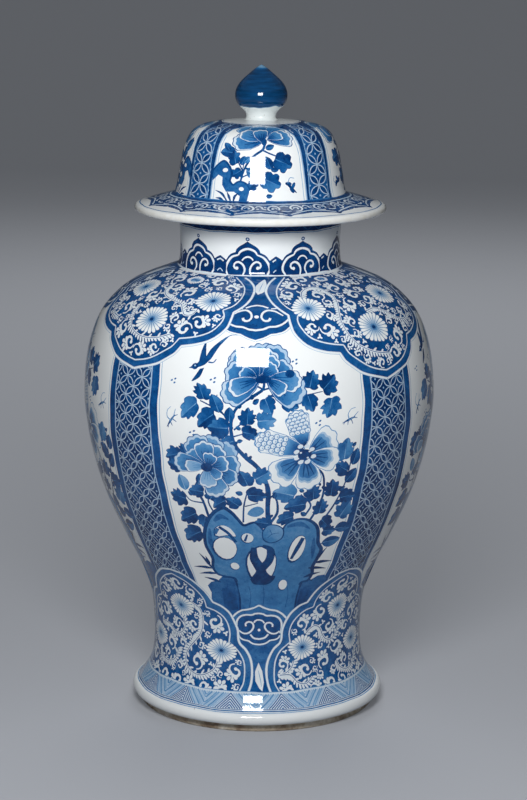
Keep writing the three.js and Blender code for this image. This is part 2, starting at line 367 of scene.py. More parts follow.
class Sheet:
    """One side of a thrown wall, as triangles in turns (radians from the front) and mm along an outline"""

    def __init__(self, outline, radius, rows, columns, seams=(), ends=None, washes=()):
        side = math.pi * radius
        turns = np.linspace(-side, side, columns + 1)
        points, edges = [], []
        ends = ends or {}
        joints = [rows[0], rows[-1], *seams]
        rows = sorted(set(round(float(t), 6) for t in [*rows, *seams]))
        first_of_row = []
        for t in rows:
            here = [x * radius for x in ends[t]] if t in ends else turns
            first_of_row.append(len(points))
            points += [(x, t) for x in here]
            if any(abs(t - joint) < 1e-5 for joint in joints):
                edges += [(i, i + 1) for i in range(first_of_row[-1], len(points) - 1)]
        last_of_row = [i - 1 for i in first_of_row[1:]] + [len(points) - 1]
        edges += list(zip(first_of_row, first_of_row[1:])) + list(zip(last_of_row, last_of_row[1:]))
        faces, shade = [], []
        for place, blue, fade in washes:
            chart = np.column_stack([place.real * radius, place.imag])
            x, y = chart.T
            if np.sum(x * np.roll(y, -1) - y * np.roll(x, -1)) < 0:
                chart = chart[::-1]
            for shift in (-2 * side, 0, 2 * side):
                if x.max() + shift > -side and x.min() + shift < side:
                    faces.append(list(range(len(points), len(points) + len(chart))))
                    points += [(px + shift, py) for px, py in chart]
                    shade.append(fade_of(blue, fade, radius, shift))
        chart, triangles, top = triangulated(points, edges, faces)
        centre = chart[triangles].mean(axis=1)
        inside = (np.abs(centre[:, 0]) < side) & (centre[:, 1] > rows[0]) & (centre[:, 1] < rows[-1])
        self.triangles, top = triangles[inside], top[inside]
        self.centre = centre[inside]
        shade = np.array([*shade, (0.0, 0.0, 0.0)])[top]
        corners = chart[self.triangles]
        self.cobalt = shade[:, :1] + shade[:, 1:2] * corners[..., 0] + shade[:, 2:] * corners[..., 1]
        self.turn, self.t = chart[:, 0] / radius, chart[:, 1]
        self.outline = outline

    def places(self):
        """The place of each vertex in metres, and the wall's outward direction there"""
        (radius, level), (across, up) = (a.T for a in self.outline.at(self.t))
        sine, cosine = np.sin(self.turn), np.cos(self.turn)
        place = np.column_stack([radius * sine, -radius * cosine, level]) * mm
        return place, np.column_stack([up * sine, -up * cosine, -across])

    def ring(self, t):
        """The turns of the vertices that lie on one seam, from left to right"""
        return sorted(set(np.round(self.turn[np.abs(self.t - t) < 1e-3], 9)))


def fade_of(blue, fade, radius, shift):
    """Strength of the cobalt as a plane over the chart: its value at zero, and its slopes along x and t"""
    if fade is None:
        return (blue, 0.0, 0.0)
    start, end, other = fade
    start, end = (complex(p.real * radius + shift, p.imag) for p in (start, end))
    along = (end - start) / abs(end - start) ** 2 * (other - blue)
    return (blue - along.real * start.real - along.imag * start.imag, along.real, along.imag)


def joined(name, shells):
    """One closed mesh from shells that share their seams' vertices, shaded by each shell's own directions"""
    places, triangles, facing, cobalt, chart = [], [], [], [], []
    count = 0
    for shell in shells:
        places.append(shell["places"])
        triangles.append(shell["triangles"] + count)
        facing.append(shell["facing"][shell["triangles"]].reshape(-1, 3))
        cobalt.append(shell["cobalt"].ravel())
        chart.append(shell["chart"].reshape(-1, 2))
        count += len(shell["places"])
    mesh = bpy.data.meshes.new(name)
    mesh.from_pydata(np.concatenate(places).tolist(), [], np.concatenate(triangles).tolist())
    mesh.uv_layers.new(name="OFBake").data.foreach_set("uv", np.concatenate(chart).ravel())
    mesh.attributes.new("cobalt", "FLOAT", "CORNER").data.foreach_set("value", np.concatenate(cobalt))
    mesh.attributes.new("facing", "FLOAT_VECTOR", "CORNER").data.foreach_set(
        "vector", np.concatenate(facing).ravel(),
    )
    weld = bmesh.new()
    weld.from_mesh(mesh)
    seam = [v for v in weld.verts if v.is_boundary]
    bmesh.ops.remove_doubles(weld, verts=seam, dist=1e-6)
    weld.to_mesh(mesh)
    weld.free()
    directions = np.empty(len(mesh.loops) * 3)
    mesh.attributes["facing"].data.foreach_get("vector", directions)
    mesh.attributes.remove(mesh.attributes["facing"])
    mesh.shade_smooth()
    mesh.normals_split_custom_set(directions.reshape(-1, 3))
    return mesh


def shell_of(sheet, first=None, last=None, strips=None):
    """The faces of a sheet between two lengths, with their places, directions, colour and place on the bake.
    A painted side is baked in quarters of the turn, in as many columns as strips says, above a low strip for
    the plain rest. The margin keeps the quarters apart there."""
    first = sheet.outline.start if first is None else first
    last = sheet.outline.end if last is None else last
    chosen = (sheet.centre[:, 1] > first) & (sheet.centre[:, 1] < last)
    used, triangles = np.unique(sheet.triangles[chosen], return_inverse=True)
    triangles = triangles.reshape(-1, 3)
    places, facing = sheet.places()
    turn = (sheet.turn[used][triangles] + math.pi) / (2 * math.pi)
    rise = (sheet.t[used][triangles] - first) / (last - first)
    plain_strip, margin = 0.045, 0.03
    if strips:
        quarter = np.floor(turn.mean(axis=1) * 4).clip(0, 3)[:, None]
        column, row = quarter % strips, quarter // strips
        u = (column + margin + (1 - 2 * margin) * (turn * 4 - quarter)) / strips
        v = (row + margin + (1 - 2 * margin) * rise) / (4 // strips)
        v = plain_strip + (1 - plain_strip) * v
    else:
        u, v = turn, rise * plain_strip * 0.9
    return {
        "places": places[used],
        "facing": facing[used],
        "triangles": triangles,
        "cobalt": sheet.cobalt[chosen],
        "chart": np.stack([u, v], axis=-1),
    }


def outermost(section, level):
    """The circle of a section that lies furthest out at a level"""
    there = section[np.abs(section[:, 1] - level) < 0.01]
    return there[there[:, 0].argmax()]


wall_nodes = ("foot_flare", "lower_body", "upper_body", "shoulder")
outsides = {}
for node in (*wall_nodes, "neck"):
    section = sections[node]
    outsides[node] = (outermost(section, section[:, 1].min()), outermost(section, section[:, 1].max()))
wall_circles = [outsides["foot_flare"][0]]
for node in wall_nodes:
    wall_circles += list(stretch(sections[node], *outsides[node]))[1:]
wall_circles = np.array(wall_circles)


def length_to(circles, place):
    """The length along the circles from the first to the one nearest to a place"""
    return np.sum(np.hypot(*np.diff(circles[: nearest(circles, place) + 1], axis=0).T))


# Heights on the wall are measured along it from the top of the foot's lip.
foot_lip_top = (115.6, 18.9)
wall = Outline(wall_circles, -length_to(wall_circles, foot_lip_top))
seam_at = [wall.start]
for node in wall_nodes:
    seam_at.append(wall.lengths[nearest(wall_circles, outsides[node][1])])


class Brush:
    """Cobalt painted on a wall, as closed outlines in the order they were laid.
    Points are complex: x to the right in mm at a reference radius, and t up the wall in mm."""

    def __init__(self, outline):
        self.outline = outline
        self.washes = []
        self.face(0, 100)

    def face(self, degrees, reference):
        """Turns the piece on the wheel, so that x is measured from this bearing, at this reference radius"""
        self.bearing = math.radians(degrees)
        self.reference = reference
        return self

    def squeeze(self, t):
        """How much wider than it is a shape has to be in x, where the wall's radius isn't the reference"""
        t = np.clip(np.atleast_1d(t), self.outline.start, self.outline.end)
        return self.reference / self.outline.at(t)[0][:, 0]

    def on_wall(self, points):
        """Points as turn and t, with the slight waver of a line drawn by hand"""
        middling_radius = 130
        points = np.asarray(points, complex)
        turn, t = self.bearing + points.real / self.reference, points.imag
        waver = 0.35 * np.sin(7 * turn + t / 9) + 0.25 * np.sin(19 * turn - t / 5.3)
        rise = 0.35 * np.sin(9 * turn + t / 11 + 1) + 0.2 * np.sin(23 * turn + t / 6.1)
        return turn + waver / middling_radius + 1j * (t + rise)

    def fill(self, points, blue, fade=None):
        """Lays a closed outline. fade is (from, to, blue at to), a wash that changes along that line."""
        if fade:
            fade = (*self.on_wall(fade[:2]), fade[2])
        self.washes.append((self.on_wall(thinned(np.asarray(points, complex))), blue, fade))

    def stroke(self, path, width, blue, step=1.6):
        """Draws a brush stroke along a smooth path. width is one width in mm, or several spread along it."""
        path = smooth_path(path, step)
        squeeze = self.squeeze(path.imag)
        ahead = np.gradient(path)
        ahead = ahead.real / squeeze + 1j * ahead.imag
        side = 1j * ahead / np.abs(ahead) * widths_along(path, width) / 2
        side = side.real * squeeze + 1j * side.imag
        self.fill(np.concatenate([path + side, (path - side)[::-1]]), blue)

    def lay(self, shapes, place, lean=0.0, size=1.0, mirrored=False):
        """Lays a motif's shapes, drawn in true mm round zero, at a place on the wall"""
        squeeze = self.squeeze(place.imag)[0]
        for points, blue, fade in moved(shapes, 0, lean, size, mirrored):
            points = place + points.real * squeeze + 1j * points.imag
            if fade:
                fade = (*(place + p.real * squeeze + 1j * p.imag for p in fade[:2]), fade[2])
            self.fill(points, blue, fade)


def smooth_path(points, step=1.6):
    """Closely spaced points of a smooth curve through the given ones"""
    points = np.asarray(points, complex)
    points = points[np.abs(np.diff(points, prepend=np.inf)) > 1e-3]
    lengths = np.concatenate([[0.0], np.cumsum(np.abs(np.diff(points)))])
    count = max(int(lengths[-1] / step), 3)
    return smooth(points, lengths, np.linspace(0, lengths[-1], count + 1))[0]


def thinned(outline, slack=0.12):
    """An outline without most of the points that lie within slack mm of the line between their neighbours"""
    for odd in (0, 1, 0, 1):
        span = np.roll(outline, -1) - np.roll(outline, 1)
        off_line = np.abs(
            ((outline - np.roll(outline, 1)) * np.conj(span)).imag
        ) / np.maximum(np.abs(span), 1e-9)
        spare = (off_line < slack) & (np.arange(len(outline)) % 2 == odd) & (np.abs(span) < 9)
        if len(outline) - spare.sum() > 3:
            outline = outline[~spare]
    return outline


def widths_along(path, width):
    """One width, or several spread evenly along a path, as a width at each of its points"""
    width = np.atleast_1d(width)
    return np.interp(np.linspace(0, 1, len(path)), np.linspace(0, 1, len(width)), width)


def line(path, width, blue, step=1.2):
    """A brush stroke as a shape of its own, in true mm"""
    path = smooth_path(path, step)
    ahead = np.gradient(path)
    side = 1j * ahead / np.abs(ahead) * widths_along(path, width) / 2
    return (np.concatenate([path + side, (path - side)[::-1]]), blue, None)


def moved(shapes, place=0, lean=0.0, size=1.0, mirrored=False):
    """Shapes turned left by lean degrees, scaled and set down at a place, and mirrored if asked"""
    turn = size * np.exp(1j * math.radians(lean))

    def put(z):
        return (-np.conj(z) if mirrored else z) * turn + place

    return [
        (put(points), blue, fade and (put(fade[0]), put(fade[1]), fade[2])) for points, blue, fade in shapes
    ]


def blob(centre, across, along=None, lean=0.0, count=14):
    """An oval outline"""
    angle = np.linspace(0, 2 * math.pi, count, endpoint=False)
    oval = across * np.cos(angle) + 1j * (along or across) * np.sin(angle)
    return centre + oval * np.exp(1j * math.radians(lean))


def arcs(corners, bulges, steps=5, closed=True):
    """An outline of arcs between corners. A bulge is an arc's height to the right, as a share of its chord"""
    corners = np.asarray(corners, complex)
    ends = np.roll(corners, -1) if closed else corners[1:]
    u = np.linspace(0, 1, steps, endpoint=False)
    out = []
    for here, there, bulge in zip(corners, ends, np.resize(bulges, len(ends))):
        chord = there - here
        out.append(here + chord * u - 1j * chord * bulge * 4 * u * (1 - u))
    return np.concatenate([*out, [] if closed else corners[-1:]])


def flipped(points, side, aside=0.0):
    """Points as they are drawn for side 1 and as in a mirror for -1, then moved aside"""
    points = np.asarray(points, complex)
    return side * points.real + aside + 1j * points.imag


def both_sides(half):
    """An outline from its right half, which runs from the bottom to the top"""
    half = np.asarray(half, complex)
    return np.concatenate([half, -np.conj(half[::-1])])


def spiral(centre, start, end, outer, inner, count=22):
    """Points of a spiral from one angle to another, in degrees, closing in from outer to inner"""
    u = np.linspace(0, 1, count)
    angle = np.radians(start + (end - start) * u)
    return centre + (outer + (inner - outer) * u ** 0.8) * np.exp(1j * angle)


def chrysanthemum(across, along, petals=22):
    """A white flower seen from above: petals parted by thin lines, a pale halo and a dark star"""
    flat = along / across
    shapes = [(blob(0, across * 0.97, along * 0.97, count=30), 0.62, None)]
    for i in range(petals):
        middle = 2 * math.pi * (i + 0.5) / petals
        reach = across * (1 + 0.05 * math.sin(5 * i + across))
        edge = []
        for share, swing in ((0.16, -0.3), (0.55, -0.8), (0.86, -0.86), (0.97, -0.55), (1.0, 0.0)):
            edge.append(reach * share * np.exp(1j * (middle + swing * math.pi / petals)))
        edge += [p * np.exp(2j * (middle - np.angle(p))) for p in edge[-2::-1]]
        points = np.array([complex(p.real, p.imag * flat) for p in edge])
        shapes.append((points, 0.4, (points[0] * 0.5, points[4] * 0.62, 0.05)))
    shapes.append((blob(0, across * 0.22, along * 0.22, count=14), 0.5, None))
    for i in range(0, petals, 2):
        tip = across * 0.34 * np.exp(2j * math.pi * i / petals)
        root = 0.1j * tip
        shapes.append((np.array([complex(p.real, p.imag * flat) for p in (root, tip, -root)]), 0.72, None))
    shapes.append((blob(0, across * 0.12, along * 0.12, count=10), 0.92, None))
    return shapes


def scroll_leaf(lobes=5):
    """A curled leaf of the scroll, a radius of 1 over all: round lobes, a hook that ends in a drop, a stem"""
    hook = spiral(0.22 + 0.12j, 205, -30, 0.5, 0.36, 11)
    head = hook[0]
    shapes = [line(hook, (0.34, 0.32, 0.26, 0.22), 0.05, 0.2), (blob(hook[-1], 0.2, count=9), 0.05, None)]
    shapes.append(line((head, 0.12 - 0.62j, 0.6 - 0.7j, 0.98 - 0.42j), (0.28, 0.18, 0.12), 0.05, 0.25))
    for i in range(lobes):
        angle = 96 + i * 190 / (lobes - 1)
        far = 0.5 + 0.1 * (i % 2)
        shapes.append((blob(head + far * np.exp(1j * math.radians(angle)), 0.26, 0.2, angle, 9), 0.05, None))
        shapes.append((blob(head + 0.26 * np.exp(1j * math.radians(angle)), 0.24, 0.1, angle, 7), 0.05, None))
    shapes.append((blob(head + 0.2 * np.exp(1j * math.radians(190)), 0.09, count=7), 0.6, None))
    return shapes


def scroll_bud():
    """A small three-lobed bud of the scroll, a radius of 1 over all"""
    shapes = [
        (blob(0.42 * np.exp(1j * math.radians(a)), 0.46, 0.3, a, 9), 0.05, None)
        for a in (90, 205, 335)
    ]
    return shapes + [line((0, 0.35 - 0.5j, 0.9 - 0.6j), (0.26, 0.12), 0.05, 0.3)]


def leaf(kind, blue, bend=0.0):
    """A painted leaf, 1 long from its stem at zero to its tip above, in two strokes of unequal strength"""
    corners, bulges = {
        "oval": ((0, 0.37 + 0.45j, 1.03j), (0.16, 0.12)),
        "lobed": (
            (0, 0.44 + 0.16j, 0.53 + 0.5j, 0.4 + 0.57j, 0.37 + 0.86j, 0.22 + 0.85j, 1.1j),
            (0.26, 0.1, -0.05, 0.12, -0.05, 0.12),
        ),
        "cut": (
            (0, 0.5 + 0.14j, 0.41 + 0.27j, 0.6 + 0.58j, 0.38 + 0.63j, 0.36 + 0.92j, 0.18 + 0.86j, 1.08j),
            (0.24, -0.05, 0.14, -0.05, 0.12, 0, 0.1),
        ),
        "round": ((0, 0.48 + 0.3j, 0.4 + 0.46j, 0.44 + 0.8j, 0.2 + 0.84j, 1.02j), (0.3, 0, 0.3, 0, 0.25)),
    }[kind]
    half = arcs(corners, bulges, 4, False)
    shapes = [(both_sides(half), blue, None)]
    if blue > 0.6:
        shapes.append((half * 0.94 + 0.03j, blue, (0.05j, 1j, blue - 0.24)))
        shapes.append((np.array((-0.02 + 0.05j, 0.03 + 0.05j, 0.82j)), blue - 0.32, None))
    return [(points * np.exp(1j * bend * points.imag), *rest) for points, *rest in shapes]


def petal(wide, rim, heart, scallops=3, outline=0.78, soft=False):
    """A peony petal, 1 long from its heart at zero: a fine outline, a pale rim and a wash that deepens
    inwards, in three soft steps where asked, or else with three fine veins"""
    spread = 62
    angle = np.radians(np.linspace(-spread, spread, scallops + 1))
    rounding = 1j * (0.55 + 0.45 * np.cos(angle) ** 1.2)
    top = 0.5 * wide * np.sin(angle) / math.sin(math.radians(spread)) + rounding
    edge = arcs([0, *top[::-1]], [0.1, *[0.3] * scallops, 0.1], 3)
    shapes = [((edge - 0.5j) * 1.06 + 0.5j, outline, None), (edge, rim, None)]
    if soft:
        for share, deep in ((0.35, 0.4), (0.6, 0.75), (1.0, 1.0)):
            inward = (heart - rim) * deep
            shapes.append((edge * (0.9 - 0.26 * share), rim + inward, (0.05j, 0.7j, rim + inward * 0.84)))
        return shapes
    shapes.append((edge * 0.9 + 0.01j, heart, (0.1j, 0.9j, rim + (heart - rim) * 0.6)))
    for side in (-0.16, 0.03, 0.2):
        shapes.append(line((0.3 * side * wide + 0.12j, side * wide + 0.62j), (0.05, 0.02), heart + 0.06, 0.3))
    return shapes


def flower(brush, petals, side=1):
    """Petals in the order they are laid: for each its root, lean, length, width, rim, heart and scallops"""
    for root, lean, length, wide, rim, heart, scallops in petals:
        brush.lay(petal(wide, rim, heart, scallops), flipped(root, side), side * lean, length)


def sprig(brush, x, t, kind, lean, length, blue):
    """One leaf whose middle is at x and t"""
    bend = 0.35 * math.sin(x + 2 * t)
    brush.lay(
        leaf(kind, blue, bend), x + 1j * t - 0.5j * length * np.exp(1j * math.radians(lean)), lean, length,
    )


def bird(brush, place):
    """A swallow in flight, with a forked tail"""
    brush.stroke([place + p for p in (-5 - 3j, 1 + 1j, 7 + 5j)], (3, 6.5, 3), 0.9)
    brush.fill(place + blob(-6 - 3j, 3.2, 2.8, 20), 0.93)
    brush.fill(place + blob(-6 - 2.4j, 1.0, 0.8), 0.3)
    brush.fill(place + np.array((-8.5 - 2.5j, -12 - 5j, -7.5 - 5j)), 0.88)
    brush.fill(place + smooth_path((-3 + 1j, -2 + 10j, 1.5 + 20j, 2.5 + 10j, 4 + 3j), 2), 0.9)
    brush.fill(place + smooth_path((2 + 3j, 6 + 12j, 13 + 19j, 24 + 26j, 14 + 15j, 8 + 4j), 2), 0.88)
    brush.stroke([place + p for p in (15 + 19j, 26 + 26.5j, 33 + 27j)], (1.2, 0.4), 0.7)
    brush.fill(place + smooth_path((-1 - 5j, -5 - 12j, -8 - 17j, 0 - 12j, 3 - 4j), 2), 0.9)
    brush.stroke([place + p for p in (6 + 1j, 11 + 1j, 13 + 4j)], (1.4, 0.8), 0.8)


def insect(brush, place, lean):
    """A small winged insect"""
    shapes = [
        line((-6 - 4j, -1, 5 + 4j), (0.6, 2.3, 1.1), 0.88),
        line((0, -3 + 5j, -1 + 10j, 3 + 12j), (1.1, 0.7, 0.5), 0.5),
        line((1 + 0.5j, 4 + 4j, 7 + 9j), (1.1, 0.7, 0.5), 0.5),
        line((-1 - 0.5j, 0 - 4.5j), (1.0, 0.5), 0.78),
        line((-4 - 2j, -4.5 - 5j), (1.0, 0.5), 0.78),
        line((2 + 1j, 5 - 2.5j), (1.0, 0.5), 0.78),
        line((3 + 3j, 8 + 3.5j), (1.0, 0.5), 0.7),
    ]
    brush.lay(shapes, place, lean)


def moth(brush, place, lean):
    """A small moth, a dark body between two pairs of wings"""
    shapes = [
        (blob(-3 + 1j, 3.4, 1.8, 30, 9), 0.84, None), (blob(2 + 2.6j, 3, 1.7, 100, 9), 0.8, None),
        (blob(3 - 1.4j, 3.4, 1.7, -20, 9), 0.88, None), line((-6, 0, 8 - 1j), (1, 3, 0.8), 0.92),
        line((-4 + 1j, -5 + 6j, -1 + 8j), (0.8, 0.5), 0.5),
    ]
    brush.lay(shapes, place, lean)


def rock(brush):
    """The pierced garden rock: a mid-blue wash with a dark outline, holes, and a block at each side"""
    left_block = (
        -60 + 90j, -66 + 106j, -63 + 118j, -66 + 126j, -60 + 131j, -50 + 134j, -44 + 140j, -33 + 141j,
        -18 + 138j, -18 + 86j, -50 + 86j,
    )
    right_block = (
        45 + 86j, 45 + 132j, 55 + 136j, 60 + 138j, 70 + 134j, 78 + 138j, 88 + 138j, 94 + 132j, 88 + 122j,
        80 + 112j, 74 + 90j,
    )
    for block in (left_block, right_block):
        brush.fill(block, 0.74, (0 + 140j, 0 + 90j, 0.8))
    for block in (
        (-47 + 100j, -47 + 124j, -40 + 126j, -40 + 131j, -30 + 130j, -26 + 100j),
        (56 + 98j, 58 + 124j, 66 + 126j, 72 + 118j, 72 + 98j),
    ):
        brush.fill(block, 0.9, (0 + 98j, 0 + 128j, 0.8))
    for path in (
        (-24 + 98j, -25 + 128j, -30 + 138j, -44 + 139j), (54 + 98j, 56 + 126j, 60 + 135j, 72 + 133j),
    ):
        brush.stroke(path, (1.4, 2.2, 1.4), 0.92)
    edge = smooth_path(
        (
            -22 + 86j, -24 + 125j, -28 + 138j, -40 + 140j, -50 + 143j, -54 + 150j, -52 + 160j, -56 + 175j,
            -56 + 190j, -52 + 202j, -46 + 211j, -38 + 218j, -32 + 220j, -26 + 216j, -20 + 209j, -13 + 202j,
            -7 + 204j, -3 + 205j, 2 + 201j, 6 + 195j, 12 + 190j, 20 + 191j, 25 + 196j, 28 + 202j, 36 + 207j,
            46 + 208j, 54 + 205j, 61 + 198j, 65 + 188j, 67 + 178j, 72 + 170j, 70 + 160j, 67 + 150j,
            69 + 142j, 66 + 134j, 57 + 132j, 54 + 120j, 53 + 86j,
        ),
        3,
    )
    brush.fill(edge, 0.57, (0 + 210j, 0 + 100j, 0.66))
    outline = edge[len(edge) * 12 // 100 : len(edge) * 90 // 100]
    brush.stroke(outline, (1.6, 3.0, 3.4, 3.6, 2.0, 1.8, 3.4, 4.0, 2.0), 0.92)
    lobe = smooth_path(
        (5 + 194j, 6 + 187j, 12 + 183j, 20 + 184j, 25 + 188j, 26 + 196j, 20 + 201j, 10 + 201j, 5 + 194j), 2,
    )
    brush.fill((lobe[:-1] - lobe.mean()) * 1.12 + lobe.mean(), 0.9)
    brush.fill(lobe[:-1], 0.66, (8 + 188j, 22 + 196j, 0.48))
    for path in ((10 + 188j, 15 + 192j, 22 + 193j), (12 + 197j, 15 + 191j)):
        brush.stroke(path, (0.9, 0.5), 0.8)
    for path, width in (
        ((-44 + 205j, -36 + 211j, -29 + 208j), 2.5), ((30 + 200j, 44 + 202j, 54 + 196j), 2.5),
        ((-50 + 196j, -50 + 180j, -47 + 165j), 2), ((61 + 185j, 62 + 172j, 63 + 160j), 2),
    ):
        brush.stroke(path, (width, width * 2.4, width * 0.5), 0.74)
    holes = (
        (blob(-35 + 174j, 12.5, 13, 0, 16), 0.0),
        (
            smooth_path(
                (-44 + 189j, -44 + 196j, -36 + 201j, -28 + 198j, -23 + 189j, -30 + 190j, -40 + 188j), 2.5,
            ),
            0.05,
        ),
        (blob(-11 + 188j, 6, 5.5), 0.05), (blob(-26 + 153j, 5, 4.2), 0.0),
        (blob(5 + 156j, 16.5, 22, 0, 18), 0.02), (blob(43 + 174j, 8.5, 15, -14, 16), 0.0),
        (blob(33 + 130j, 5.6, 6), 0.0),
    )
    for outline, blue in holes:
        middle = outline.mean()
        brush.fill((outline - middle) * 1.1 + middle - 0.6 - 0.6j, 0.88)
        brush.fill(outline, blue)
    foot = smooth_path(
        (
            -9 + 137j, -6 + 132j, 3 + 130.5j, 12 + 131j, 19 + 135j, 22 + 141j, 16 + 142j, 12 + 146j,
            9 + 153j, 0 + 153j, -2 + 146j, -6 + 141j, -9 + 137j,
        ),
        2,
    )[:-1]
    brush.fill(foot, 0.92)
    for path, width, blue in (
        ((4 + 151j, -3 + 162j, -4 + 177j), (10, 8, 5), 0.93),
        ((5 + 150j, 13 + 161j, 12 + 176j, 5 + 179j), (9, 8, 7, 3), 0.93),
        ((-40 + 199j, -30 + 192j, -23 + 182j), (3, 3, 3), 0.9),
        ((-45 + 191j, -41 + 197j), (4, 3), 0.75),
        ((-14 + 184j, -11 + 192j), (2.5, 1.5), 0.85),
        ((48 + 186j, 43 + 174j, 38 + 162j), (4, 4.5, 2.5), 0.92),
    ):
        brush.stroke(path, width, blue)
    for x in (8, 40, -10):
        brush.stroke((x + 104j, x + 1 + 118j, x - 1 + 128j), (0.8, 0.5), 0.8)


def bamboo(brush, side):
    """Spikes of bamboo beside the rock"""
    for root, tip in (
        (-56 + 150j, -67 + 166j), (-55 + 149j, -79 + 148j), (-50 + 143j, -74 + 140j),
        (-47 + 132j, -68 + 136j), (-58 + 152j, -60 + 163j),
    ):
        middle = (root + tip) / 2
        spike = np.array((root, middle, tip))
        if side > 0:
            spike = flipped(spike, -1, 12) + 6j
        brush.stroke(spike + (0, 0.8j, 0), (1.2, 3.6, 2.2, 0.4), 0.93)


